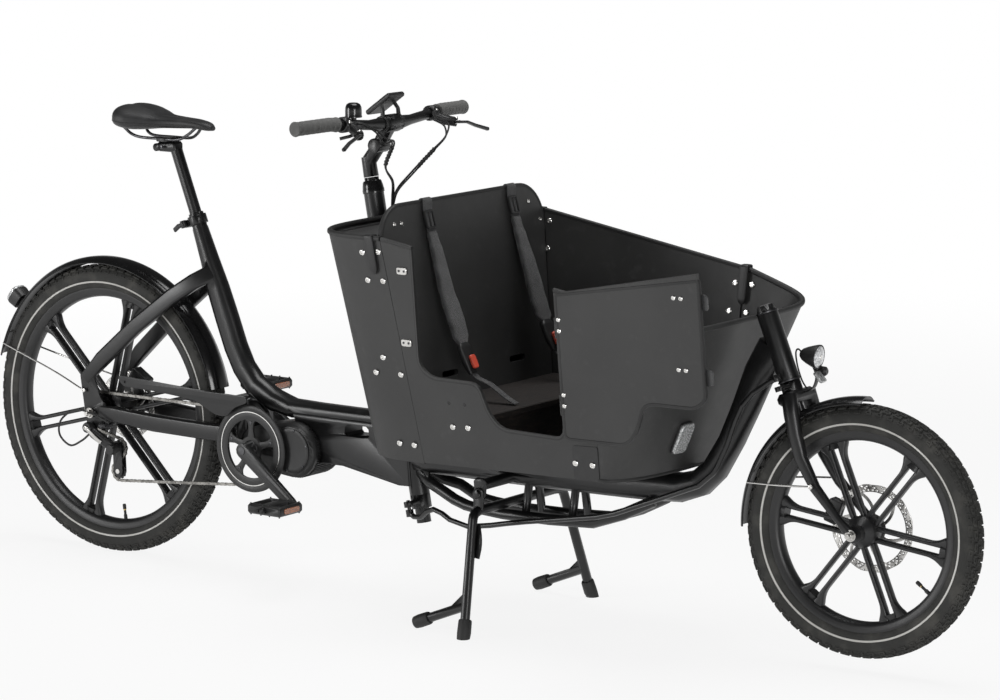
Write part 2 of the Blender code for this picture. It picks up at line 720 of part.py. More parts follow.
def motor():
    """The mid motor's housing hangs in the frame and is bored for the crank spindle."""
    body = plate(motor_outline(), 2 * MOTOR_HALF)
    drum = rod((MOTOR_CENTRE[0], -0.056, MOTOR_CENTRE[2]), (MOTOR_CENTRE[0], 0.056, MOTOR_CENTRE[2]),
               MOTOR_RADIUS - 0.008, sides=22)
    bore = rod((CRANK_CENTRE[0], -0.08, CRANK_CENTRE[2]), (CRANK_CENTRE[0], 0.08, CRANK_CENTRE[2]),
               SPINDLE_RADIUS + 0.0004, sides=16)
    body = cut(joined(body, drum), bore)
    finish("motor_housing", body, BLACK_PLASTIC, BIKE)


def pedal_place(side):
    """A crank arm's end, from the crank centre. The right arm is side -1."""
    reach = CRANK_LENGTH if side < 0 else -CRANK_LENGTH
    return (reach * cos(CRANK_TURN), side * ARM_Y, reach * sin(CRANK_TURN))


def cranks():
    """Spindle, both arms and the pedal spindles are one forged set that turns in the motor."""
    pieces = []
    for side in (-1, 1):
        x, y, z = pedal_place(side)
        middle = y + side * ARM_THICKNESS / 2
        tilt = atan2(z, x)
        outline = [(0.016 * cos(a), 0.016 * sin(a)) for a in [radians(v) for v in range(90, 271, 30)]]
        outline += [(CRANK_LENGTH + 0.0115 * cos(a), 0.0115 * sin(a))
                    for a in [radians(v) for v in range(-90, 91, 30)]]
        arm = moved(plate(outline, ARM_THICKNESS), turn(-tilt, "Y"))
        pieces.append(moved(arm, at(0, middle, 0)))
        pieces.append(rod((x, y, z), (x, side * (ARM_Y + 0.108), z), 0.0065, sides=10))
    spindle = rod((0, -ARM_Y - 0.004, 0), (0, ARM_Y + 0.004, 0), SPINDLE_RADIUS, sides=16)
    boss = rod((0, RING_Y - 0.0095, 0), (0, RING_Y + 0.002, 0), 0.0190, sides=16)
    finish("crank", joined(spindle, boss, *pieces), CAST_ALLOY, CRANKS)


def chainring():
    """The toothed ring and its round guard on a five-armed spider."""
    tip = RING_PITCH - LINK_HALF - COG_CLEARANCE
    profile = [(0.0196, -0.0590), (tip, -0.0590), (tip, -0.0614), (0.0730, -0.0614), (0.0730, -0.0680),
               (GUARD_RING_RADIUS, -0.0680), (GUARD_RING_RADIUS, -0.0710), (0.0680, -0.0710),
               (0.0680, -0.0640), (0.0196, -0.0640)]
    ring = turned(profile, 28)
    openings = []
    for index in range(5):
        start = radians(90) + index * radians(72)
        outer = arc((0, 0), 0.0630, start + 0.14, start + 1.12, 3)
        inner = arc((0, 0), 0.0300, start + 0.92, start + 0.34, 1)
        openings.append(plate(outer + inner, 0.030, (0, -0.062, 0)))
    finish("chainring", cut(ring, *openings), DARK_STEEL, CRANKS)


def pedals():
    """Each platform pedal turns on its own spindle at the end of its arm."""
    for side, name in ((-1, "pedal_right"), (1, "pedal_left")):
        x, y, z = pedal_place(side)
        centre = side * (ARM_THICKNESS + 0.050)
        body = block((0.094, 0.082, 0.022), (0, centre, 0), 0.005)
        spaces = [block((0.024, 0.056, 0.05), (shift, centre, 0)) for shift in (-0.026, 0.026)]
        bore = rod((0, centre - 0.06, 0), (0, centre + 0.06, 0), 0.0069, sides=12)
        axis = carrier(name + "_axis", CRANKS, (x, y, z))
        finish(name, cut(body, bore, *spaces), BLACK_PLASTIC, axis)


def belt(wheels, offset):
    """A loop round wheels of (x, z, radius, sense): sense 1 lies to its left as the chain runs."""
    count = len(wheels)
    runs = []
    for index in range(count):
        x1, z1, r1, s1 = wheels[index]
        x2, z2, r2, s2 = wheels[(index + 1) % count]
        lift1 = s1 * r1 + offset
        lift2 = s2 * r2 + offset
        span = hypot(x2 - x1, z2 - z1)
        way = atan2(z2 - z1, x2 - x1) - asin((lift1 - lift2) / span)
        runs.append(way)
    points = []
    for index in range(count):
        x, z, radius, sense = wheels[index]
        lift = sense * radius + offset
        before = runs[index - 1]
        after = runs[index]
        swept = (after - before) % (2 * pi)
        if sense > 0:
            swept -= 2 * pi
        steps = max(2, int(abs(swept) / radians(13)))
        for step in range(steps + 1):
            left = before + swept * step / steps + pi / 2
            points.append((x + lift * cos(left), z + lift * sin(left)))
    return points


def drive():
    """The cassette, the chain round it and the derailleur with its two pulleys."""
    bore = 0.0164
    cogs = [(0.0525, 0.0085, 0.0052), (COG_PITCH, 0.0052, -0.0040), (0.0365, -0.0040, -0.0085),
            (0.0300, -0.0085, -0.0130), (0.0250, -0.0130, -0.0170)]
    outline = [(bore, COG_Y + cogs[0][1])]
    for pitch, inboard, outboard in cogs:
        tip = pitch - LINK_HALF - COG_CLEARANCE
        outline += [(tip, COG_Y + inboard), (tip, COG_Y + outboard)]
    outline += [(bore, COG_Y + cogs[-1][2])]
    finish("cassette", turned(outline, 20), DARK_STEEL, REAR)
    wheels = [(REAR_AXLE[0], REAR_AXLE[2], COG_PITCH, 1), (CRANK_CENTRE[0], CRANK_CENTRE[2], RING_PITCH, 1),
              (*LOWER_PULLEY, PULLEY_PITCH, 1), (*UPPER_PULLEY, PULLEY_PITCH, -1)]
    outer = belt(wheels, LINK_HALF)
    inner = belt(wheels, -LINK_HALF)
    slope = (RING_Y - COG_Y) / CRANK_CENTRE[0]
    lean = Matrix.Identity(4)
    lean[1][0] = slope
    chain = moved(plate(outer, LINK_WIDTH, holes=[inner]), at(0, COG_Y, 0), lean)
    finish("chain", chain, STEEL, BIKE)
    pulley_y = COG_Y + slope * UPPER_PULLEY[0]
    for name, (x, z) in (("jockey_upper", UPPER_PULLEY), ("jockey_lower", LOWER_PULLEY)):
        half = PULLEY_WIDTH / 2
        tip = PULLEY_PITCH - LINK_HALF - COG_CLEARANCE
        wheel = turned([(0.0033, half), (tip, half), (tip, -half), (0.0033, -half)], 16)
        axis = carrier(name + "_axis", BIKE, (x, pulley_y, z))
        finish(name, wheel, BLACK_PLASTIC, axis)
    finish("derailleur", derailleur(pulley_y), CAST_ALLOY, BIKE)


def derailleur(pulley_y):
    """Knuckle, link and cage of the derailleur, with the pins that carry its pulleys."""
    tall = [UPPER_PULLEY, LOWER_PULLEY]
    pieces = []
    for y in (pulley_y - CAGE_HALF, pulley_y + CAGE_HALF):
        outline = arc(tall[0], 0.0130, 0, pi, 6) + arc(tall[1], 0.0130, pi, 2 * pi, 6)
        pieces.append(plate(outline, CAGE_WALL, (0, y, 0)))
    for x, z in tall:
        pieces.append(rod((x, pulley_y - CAGE_HALF, z), (x, pulley_y + CAGE_HALF, z), 0.0028, sides=10))
    hanger_y = -DROPOUT_Y - DROPOUT_THICKNESS / 2 - GAP
    pieces.append(rod((-0.002, hanger_y, 0.3010), (-0.002, hanger_y - 0.016, 0.3010), 0.0110, sides=14))
    pieces.append(bar([(-0.002, hanger_y - 0.010, 0.3010), (0.016, hanger_y - 0.012, 0.290),
                       (UPPER_PULLEY[0] - 0.010, hanger_y - 0.002, 0.268), (UPPER_PULLEY[0],
                                                                            hanger_y + 0.010, 0.258)],
                      [(0.008, 0.008), (0.012, 0.009), (0.012, 0.008), (0.009, 0.007)], 8, 3.0))
    pieces.append(rod((UPPER_PULLEY[0], pulley_y - CAGE_HALF, UPPER_PULLEY[1]),
                      (UPPER_PULLEY[0], hanger_y + 0.001, UPPER_PULLEY[1]), 0.0110, sides=14))
    return joined(*pieces)


def chain_guard():
    """A flat guard over the top of the chain, on a foot against the right chain stay."""
    outline = bent([(0.0932, 0.4280, 0), (0.1029, 0.4320, 0), (0.3592, 0.4210, 0), (0.4721, 0.4198, 0),
                    (0.4748, 0.4059, 0), (0.4381, 0.3927, 0), (0.4132, 0.3688, 0), (0.3826, 0.3704, 0),
                    (0.3217, 0.3976, 0), (0.2097, 0.4056, 0), (0.1086, 0.4077, 0)], 0.010, 2, True)
    sheet = plate([point[:2] for point in outline], GUARD_THICKNESS, (0, GUARD_Y, 0),
                  holes=[circle((0.116, 0.419), 0.004, 8)])
    face = -YOKE_HALF - GAP
    outer = GUARD_Y - GUARD_THICKNESS / 2 + 0.0005
    foot = rod((0.4300, outer, 0.3970), (0.4300, face, 0.3970), 0.0050, sides=12)
    finish("chain_guard", joined(sheet, foot), FRAME_PAINT, BIKE)


def fender_profile(radius, half):
    """The middle of a fender's skin across the wheel: a low arch with lips."""
    crown = radius - FENDER_SKIN / 2
    arch = [(crown - 0.013, half), (crown - 0.006, half * 0.86), (crown, half * 0.40)]
    return arch + [(r, -y) for r, y in reversed(arch)]


def rear_fender():
    """The rear fender from the yoke over the wheel, with its two wire stays and the tail lamp."""
    arch = turned(fender_profile(FENDER_RADIUS, FENDER_HALF), FENDER_STEPS, False, FENDER_SPAN,
                  FENDER_START)
    arch = moved(thickened(arch, FENDER_SKIN), at(*FENDER_CENTRE))
    stays = []
    for side in (-1, 1):
        flush = side * (DROPOUT_Y + DROPOUT_THICKNESS / 2 + 0.0020 + GAP)
        lip = FENDER_RADIUS - 0.01124
        route = [(-0.018, flush, 0.3850), (-0.036, flush, 0.3900), (-0.130, side * 0.055, 0.4150),
                 (FENDER_CENTRE[0] + lip * cos(STAY_ANGLE), side * (FENDER_HALF - 0.001),
                  FENDER_CENTRE[2] + lip * sin(STAY_ANGLE))]
        stays.append(tube(route, 0.0020, 6))
    finish("rear_fender", joined(arch, *stays), BLACK_PLASTIC, BIKE)
    angle = radians(141.5)
    place = Vector(FENDER_CENTRE) + Vector((cos(angle), 0, sin(angle))) * (FENDER_RADIUS + GAP)
    foot = rod((0, 0, 0), (0.012, 0, 0), 0.010, sides=12)
    lens = rod((0.006, 0, 0), (0.030, 0, 0), 0.024, 0.016, 20)
    lamp = moved(joined(lens, foot), at(*place), turn(-angle, "Y"))
    finish("tail_lamp", lamp, LAMP_RED, BIKE)


def rear_caliper():
    """The rear brake caliper straddles its rotor on the inside of the left dropout."""
    angle = radians(58)
    reach = REAR_ROTOR_RADIUS - 0.002
    inner = DROPOUT_Y - DROPOUT_THICKNESS / 2 - GAP
    body = block((0.030, 0.030, 0.050), (reach, inner - 0.015, 0), 0.003)
    space = block((0.040, ROTOR_THICKNESS + 0.0016, 0.08), (reach - 0.012, REAR_ROTOR_Y, 0))
    finish("rear_caliper", moved(cut(body, space), turn(-angle, "Y")), CAST_ALLOY, REAR)


def seat():
    """Post, saddle on its rails, and the collar with its quick lever."""
    top = Vector(SEAT_TUBE_TOP)
    up = Vector((-sin(SEAT_LEAN), 0, cos(SEAT_LEAN)))
    slide = carrier("seat_axis", BIKE, SEAT_TUBE_TOP)
    post_top = top + up * POST_SHOWN
    post = rod(post_top - up * POST_LENGTH, post_top, POST_RADIUS, sides=16)
    head = block((0.052, 0.034, 0.0232), (0.1900, 0, 0.9516), 0.005)
    clamp = rod((0.168, -0.024, 0.9500), (0.168, 0.024, 0.9500), 0.009, sides=12)
    finish("seatpost", joined(post, head, clamp), FRAME_PAINT, slide, BIKE)
    stations = [(0.058, 0.028, 1.0120, 0.0160), (0.066, 0.052, 1.0120, 0.0260),
                (0.082, 0.071, 1.0125, 0.0305),
                (0.110, 0.075, 1.0100, 0.0300), (0.145, 0.060, 1.0080, 0.0245), (0.180, 0.042, 1.0060,
                                                                                 0.0175),
                (0.225, 0.029, 1.0055, 0.0145), (0.270, 0.024, 1.0050, 0.0120), (0.302, 0.018, 1.0010,
                                                                                 0.0105),
                (0.317, 0.008, 0.9980, 0.0060)]
    shell = loft([[(x, v * half, z + u * thick) for u, v in oval(12, 2.4)] for x, half, z,
                  thick in stations])
    rails = []
    for side in (-1, 1):
        wire = bent([(0.085, side * 0.036, 0.992), (0.115, side * 0.024, 0.9700),
                     (0.235, side * 0.022, 0.9700),
                     (0.275, side * 0.010, 0.998)], 0.020, 2)
        rails.append(tube(wire, 0.0035, 6))
    yoke = block((0.034, 0.056, 0.0090), (0.185, 0, 0.9680), 0.002)
    finish("saddle", joined(shell, *rails, yoke), BLACK_PLASTIC, slide, BIKE)
    low = top - up * 0.020
    collar = rod(low - up * 0.006, low + up * 0.014, SEAT_TUBE_RADIUS + 0.0046, sides=20)
    space = rod(low - up * 0.02, low + up * 0.03, SEAT_TUBE_RADIUS + 0.0004, sides=20)
    ear = block((0.016, 0.0244, 0.016), (-SEAT_TUBE_RADIUS - 0.010, 0, 0.004), 0.002)
    ear = moved(ear, Matrix.Translation(low), turn(-SEAT_LEAN, "Y"))
    finish("seat_clamp", cut(joined(collar, ear), space), FRAME_PAINT, BIKE)
    pivot = low + Matrix.Rotation(-SEAT_LEAN, 3, "Y") @ Vector((-SEAT_TUBE_RADIUS - 0.0105, -0.0195, 0.004))
    axis = carrier("seat_lever_axis", BIKE, pivot, SEAT_LEAN)
    boss = rod((0, 0, -0.008), (0, 0, 0.008), 0.0070, sides=14)
    handle = bar([(0, 0, 0), (-0.014, -0.002, 0.0), (-0.034, 0.004, -0.004)],
                 [(0.0050, 0.004), (0.0055, 0.0035), (0.0055, 0.003)], 8, 3.0)
    finish("seat_lever", joined(boss, handle), CAST_ALLOY, axis)


def steering():
    """Column, stem, bar and what is clamped on it, all drawn straight in the column's frame."""
    low = -HOUSING_LENGTH
    level = low - COLUMN_ARM_DROP
    shaft = rod((0, 0, low - 0.062), (0, 0, 0.030), SHAFT_RADIUS, sides=16)
    cup = rod((0, 0, low - 0.030), (0, 0, low - 0.0006), HOUSING_RADIUS, sides=20)
    cap = rod((0, 0, 0.0006), (0, 0, 0.020), HOUSING_RADIUS, 0.019, 20)
    arm = bar([(0, 0.004, level), (0, -STEER_ARM, level)], [(0.0065, 0.012), (0.0055, 0.0085)], 8, 3.0,
              (1, 0, 0))
    eye = rod((0, -STEER_ARM, level - 0.006), (0, -STEER_ARM, level + 0.006), ARM_EYE, sides=12)
    bore = rod((0, -STEER_ARM, level - 0.02), (0, -STEER_ARM, level + 0.02), STUD_RADIUS + GAP, sides=10)
    finish("steering_column", cut(joined(shaft, cup, cap, arm, eye), bore), FRAME_PAINT, COLUMN)

    stem_foot = rod((0, 0, 0.0310), (0, 0, 0.075), 0.0165, 0.0155, 20)
    sx, sy, sz = on_column(0.784, 0, 0.989)
    cx, cy, cz = on_column(0.812, 0, 1.038)
    lower = bar([(0, 0, 0.065), (sx, 0, sz)], [(0.016, 0.015), (0.015, 0.017)], 12, 2.2)
    knuckle = rod((sx, -0.021, sz), (sx, 0.021, sz), 0.016, sides=18)
    upper = bar([(sx, 0, sz), (cx, 0, cz)], [(0.014, 0.016), (0.015, 0.019)], 10, 2.6)
    grip_clamp = rod((cx, -0.024, cz), (cx, 0.024, cz), 0.0195, sides=18)
    bar_bore = rod((cx, -0.05, cz), (cx, 0.05, cz), BAR_RADIUS + 0.0030 + GAP, sides=16)
    stem = cut(joined(stem_foot, lower, knuckle, upper, grip_clamp), bar_bore)
    finish("stem", stem, FRAME_PAINT, COLUMN)

    def bar_line(y):
        """The bar's centre: level in the middle, then swept a little back and up to its ends."""
        out = max(0.0, abs(y) - 0.060)
        return cx - 0.020 * (out / 0.27) ** 2, y, cz + 0.014 * min(1.0, out / 0.16)

    stations = [-0.327, -0.250, -0.190, -0.130, -0.080, -0.050, 0.050, 0.080, 0.130, 0.190, 0.250, 0.327]
    radii = [BAR_RADIUS if abs(y) > 0.055 else BAR_RADIUS + 0.003 for y in stations]
    finish("handlebar", tube([bar_line(y) for y in stations], BAR_RADIUS, 12, radii), FRAME_PAINT, COLUMN)

    for side, label in ((-1, "right"), (1, "left")):
        ends = [bar_line(side * y) for y in (0.327 - GRIP_LENGTH, 0.250, 0.3275)]
        grip = tube([Vector(ends[0]), Vector(ends[1]), Vector(ends[2]) + Vector((0, side * 0.004, 0))],
                    GRIP_RADIUS, 12)
        space = tube([bar_line(side * y) for y in (0.130, 0.190, 0.250, 0.3285)], BAR_RADIUS + GAP, 12)
        finish("grip_" + label, cut(grip, space), SOFT_RUBBER, COLUMN)
        brake_set(side, label, bar_line)
    bell(bar_line)
    display(cx, cz)
    cables(bar_line)


def brake_set(side, label, bar_line):
    """A lever mount clamped on the bar and the lever that turns in its mouth."""
    mid = Vector(bar_line(side * 0.172))
    clamp = rod(mid - Vector((0, 0.009, 0)), mid + Vector((0, 0.009, 0)), 0.0170, sides=16)
    space = tube([bar_line(side * y) for y in (0.130, 0.172, 0.210)], BAR_RADIUS + GAP, 12)
    pivot = mid + Vector((0.050, side * 0.020, -0.028))
    body = bar([mid + Vector((0.008, -side * 0.010, -0.004)), mid + Vector((0.028, 0, -0.018)), pivot],
               [(0.010, 0.010), (0.011, 0.010), (0.010, 0.009)], 8, 3.0)
    mouth = block((0.040, 0.030, 0.0072), pivot + Vector((0.006, side * 0.006, 0)))
    pin_hole = rod(pivot - Vector((0, 0, 0.003)), pivot + Vector((0, 0, 0.003)), 0.0115, sides=14)
    nipple = rod(mid + Vector((0.020, -side * 0.002, 0)), mid + Vector((0.020, -side * 0.018, 0)),
                 0.0050, sides=8)
    pieces = [body, nipple]
    if side < 0:
        perch = Vector(bar_line(SHIFT_Y)) + Vector(SHIFT_FROM_BAR)
        below = perch - Vector((0, 0, 0.0115))
        front = below + Vector((0.014, -0.012, 0))
        pieces += [rod(mid + Vector((0.020, 0.006, -0.006)), front, 0.0042, sides=8),
                   rod(front, below, 0.0042, sides=8),
                   rod(below, perch + Vector((0, 0, 0.0055)), 0.0028, sides=10)]
    mount = cut(joined(clamp, *pieces), space, mouth, pin_hole)
    finish("brake_mount_" + label, mount, CAST_ALLOY, COLUMN)
    axis = carrier("brake_axis_" + label, COLUMN, pivot)
    eye = rod((0, 0, -0.0030), (0, 0, 0.0030), 0.0085, sides=14)
    blade = bar([(0, 0, 0), (0.010, side * 0.026, -0.003), (0.010, side * 0.058, -0.013),
                 (0.018, side * 0.094, -0.025)],
                [(0.0058, 0.0030), (0.0050, 0.0030), (0.0048, 0.0035), (0.0048, 0.0040)], 8, 3.0, (0, 0, 1))
    finish("brake_lever_" + label, joined(eye, blade), CAST_ALLOY, axis)


def bell(bar_line):
    """A dome bell on the right of the stem, and the thumb shifter beside the right grip."""
    foot = Vector(bar_line(-0.134))
    strap = rod(foot - Vector((0, 0.006, 0)), foot + Vector((0, 0.006, 0)), 0.0145, sides=14)
    space = tube([bar_line(y) for y in (-0.080, -0.130, -0.190)], BAR_RADIUS + GAP, 12)
    post = rod(foot + Vector((0, 0, 0.012)), foot + Vector((0, 0, 0.026)), 0.005, sides=10)
    dome = [(0.0, -0.012), (0.0150, -0.012), (0.0155, -0.004), (0.0140, 0.005), (0.0090, 0.011),
            (0.0, 0.0125)]
    cap = moved(turned(list(reversed(dome)), 20, False), turn(radians(90), "X"))
    cap = moved(cap, at(foot.x, foot.y, foot.z + 0.034))
    finish("bell", joined(cut(strap, space), post, cap), DARK_STEEL, COLUMN)
    pivot = Vector(bar_line(SHIFT_Y)) + Vector(SHIFT_FROM_BAR)
    axis = carrier("shift_axis", COLUMN, pivot)
    pad = bar([(0, 0, 0), (-0.012, -0.010, -0.004), (-0.030, -0.022, -0.006)],
              [(0.0035, 0.006), (0.0035, 0.006), (0.0035, 0.008)], 8, 3.0)
    eye = rod((0, 0, -0.007), (0, 0, 0.004), 0.008, sides=12)
    bore = rod((0, 0, -0.010), (0, 0, 0.008), 0.0028 + GAP, sides=10)
    finish("shift_lever", cut(joined(eye, pad), bore), BLACK_PLASTIC, axis)


def display(cx, cz):
    """The display tilts on two ears that hold the bar on each side of the stem."""
    axis = carrier("display_axis", COLUMN, (cx, 0, cz))
    pieces = []
    for side in (-1, 1):
        y = side * 0.0315
        pieces.append(rod((0, y - 0.004, 0), (0, y + 0.004, 0), 0.0175, sides=16))
        pieces.append(bar([(0.004, y, 0.012), (0.006, y * 0.95, 0.030), (0.000, y * 0.8, 0.046)],
                          [(0.005, 0.004), (0.004, 0.004), (0.004, 0.004)], 8, 3.0))
    slab = block((0.074, 0.062, 0.011), (-0.005, 0, 0.044), 0.003, COLUMN_LEAN - radians(36))
    space = rod((0, -0.05, 0), (0, 0.05, 0), BAR_RADIUS + 0.0036, sides=16)
    whole = joined(slab, *pieces)
    finish("display", cut(whole, space), BLACK_PLASTIC, axis)


def cables(bar_line):
    """Two looms of hoses and wires from the lever mounts that meet behind the backrest."""
    to_bike = BIKE.matrix_world.inverted() @ COLUMN.matrix_world
    ends = []
    for side in (-1, 1):
        mouth = Vector(bar_line(side * 0.172)) + Vector((0.020, -side * (0.018 + GAP), 0))
        ends.append([to_bike @ mouth, to_bike @ (mouth + Vector((0, -side * 0.012, 0)))])
    left = [*ends[1], (0.8500, 0.122, 1.0380), (0.8850, 0.110, 1.0280), (0.9080, 0.075, 1.0080),
            (0.8841, 0.060, 0.9772),
            (0.8410, 0.045, 0.9292), (0.8150, 0.026, 0.8922), (0.8117, 0.014, 0.8620), (0.8117, 0.012,
                                                                                        0.8430)]
    right = [*ends[0], (0.8560, -0.100, 1.0320), (0.8570, -0.070, 1.0080), (0.8396, -0.020, 0.9987),
             (0.8104, -0.010, 0.9462), (0.8210, 0.000, 0.9135),
             (0.8140, 0.010, 0.8800), (0.8117, 0.012, 0.8560)]
    loom = joined(tube(bent(left, 0.020, 2), 0.0048, 6), tube(bent(right, 0.020, 2), 0.0048, 6))
    finish("control_cables", loom, BLACK_PLASTIC, COLUMN, BIKE)


def fork():
    """Steerer, crown and both blades, bored into the head tube, with the fixed axle."""
    middle = -(CROWN_TOP_S + CROWN_FOOT_S) / 2
    steerer = rod((0, 0, middle), (0, 0, 0.0760), 0.0150, sides=16)
    cap = rod((0, 0, 0.0706), (0, 0, 0.0860), 0.0220, 0.0170, 20)
    race = rod((0, 0, middle), (0, 0, -0.0706), 0.0215, sides=16)
    crown = block((0.044, 0.100, CROWN_FOOT_S - CROWN_TOP_S), (0.004, 0, middle), 0.008)
    pieces = [cap, race, crown]
    for side in (-1, 1):
        path = [(0.0110, side * 0.0400, -0.1000), (0.0060, side * 0.0475, -0.1400),
                (0.0000, side * 0.0490, -0.1800),
                (-0.0030, side * 0.0505, -0.2300), (0.0080, side * 0.0540, -AXLE_S + 0.1114),
                (0.0380, side * 0.0580, -AXLE_S + 0.0355), (AXLE_O, side * 0.0590, -AXLE_S)]
        sizes = [(0.0170, 0.0140), (0.0165, 0.0140), (0.0155, 0.0130), (0.0140, 0.0115), (0.0115, 0.0095),
                 (0.0085, 0.0070), (0.0120, 0.0050)]
        pieces.append(bar(path, sizes, 10, 2.2))
    pieces.append(rod((AXLE_O, -0.0680, -AXLE_S), (AXLE_O, 0.0680, -AXLE_S), AXLE_RADIUS, sides=12))
    pieces.append(bar([(0, 0, -FORK_ARM_S), (0, -STEER_ARM, -FORK_ARM_S)],
                      [(0.0055, 0.012), (0.0045, 0.0085)],
                      8, 3.0, (1, 0, 0)))
    pieces.append(rod((0, -STEER_ARM, -FORK_ARM_S - 0.005), (0, -STEER_ARM, -FORK_ARM_S + 0.005),
                      ARM_EYE, sides=12))
    finish("fork", joined(steerer, *pieces), FRAME_PAINT, HEAD)


def front_fender():
    """The front fender, its wire stays to the blades, the lamp at the crown and the caliper."""
    start = radians(90) - HEAD_LEAN
    arch = turned(fender_profile(FRONT_FENDER_RADIUS, FRONT_FENDER_HALF), 12, False, radians(93), start)
    arch = thickened(arch, FENDER_SKIN)
    stays = []
    for side in (-1, 1):
        lip = FRONT_FENDER_RADIUS - 0.0106
        high = (lip * cos(FRONT_STAY_ANGLE), side * (FRONT_FENDER_HALF - 0.001),
                lip * sin(FRONT_STAY_ANGLE))
        stays.append(tube([high, (-0.1200, side * 0.060, 0.1400),
                           (-0.0460, side * 0.0665, 0.1163)], 0.0020, 6))
    crown_foot = AXLE_S - CROWN_FOOT_S
    lug = rod((-AXLE_O + 0.004, 0, FRONT_FENDER_RADIUS - 0.008), (-AXLE_O + 0.004, 0, crown_foot - GAP),
              0.008,
              sides=8)
    whole = joined(arch, lug, *stays)
    finish("front_fender", whole, BLACK_PLASTIC, FRONT)
    lamp_body = rod((0.0430, 0, -0.0290), (0.0780, 0, -0.0465), 0.0120, 0.0250, 18)
    lens = rod((0.0760, 0, -0.0455), (0.0850, 0, -0.0500), 0.0250, 0.0220, 18)
    reflector = block((0.006, 0.024, 0.026), (0.0660, 0, -0.0860), 0.0, radians(22))
    arm = bar([(0.0263, 0, -0.104), (0.0400, 0, -0.104), (0.0520, 0, -0.098), (0.0630, 0, -0.080),
               (0.0620, 0, -0.050)],
              [(0.004, 0.007)] * 5, 8, 3.0)
    finish("headlamp", joined(lamp_body, lens, arm, reflector), BLACK_PLASTIC, HEAD)


def front_caliper():
    """The front caliper straddles its rotor on the inside of the left blade."""
    body = block((0.050, 0.0250, 0.030), (0, 0.0370, 0), 0.003)
    space = block((0.10, ROTOR_THICKNESS + 0.0016, 0.040), (0, FRONT_ROTOR_Y, -0.012))
    angle = radians(140)
    reach = FRONT_ROTOR_RADIUS - 0.002
    placed = moved(cut(body, space), turn(-angle + pi / 2, "Y"), at(0, 0, reach))
    finish("front_caliper", placed, CAST_ALLOY, FRONT)


def tie_rod():
    """The long link under the column's arm and over the fork's arm, bent round the frame."""
    to_bike = BIKE.matrix_world.inverted()
    ball = -HOUSING_LENGTH - COLUMN_BALL_DROP
    rear = to_bike @ COLUMN.matrix_world @ Vector((0, -STEER_ARM, ball))
    stud_top = to_bike @ COLUMN.matrix_world @ Vector((0, -STEER_ARM,
                                                       -HOUSING_LENGTH - COLUMN_ARM_DROP + 0.009))
    front = to_bike @ HEAD.matrix_world @ Vector((0, -STEER_ARM, -FORK_BALL_S))
    y = -0.077
    route = [rear, (0.925, -0.056, rear.z - 0.0118), (0.965, -0.068, 0.2230), (0.992, -0.074, 0.2240),
             (1.048, y, 0.1960), (1.110, y, 0.2030), (1.2015, y, 0.2230), (1.4305, y, 0.2630),
             (1.532, y, 0.3035), (1.6815, y, 0.3630), (1.716, -0.076, 0.4200), (1.7475, -0.070, 0.5120),
             (1.764, -0.065, 0.5430), (1.794, -0.055, 0.5680), front]
    link = tube(bent(route, 0.025, 1), ROD_RADIUS, 8)
    lean = Vector((-sin(COLUMN_LEAN), 0, cos(COLUMN_LEAN))) * 0.0075
    tilt = Vector((-sin(HEAD_LEAN), 0, cos(HEAD_LEAN))) * 0.0070
    knobs = [rod(rear - lean, rear + lean, BALL_RADIUS, sides=12),
             rod(front - tilt, front + tilt, BALL_RADIUS, sides=12),
             rod(rear, stud_top, STUD_RADIUS, sides=10)]
    axis = carrier("tie_rod_axis", BIKE, rear)
    finish("tie_rod", joined(link, *knobs), FRAME_PAINT, axis, BIKE)


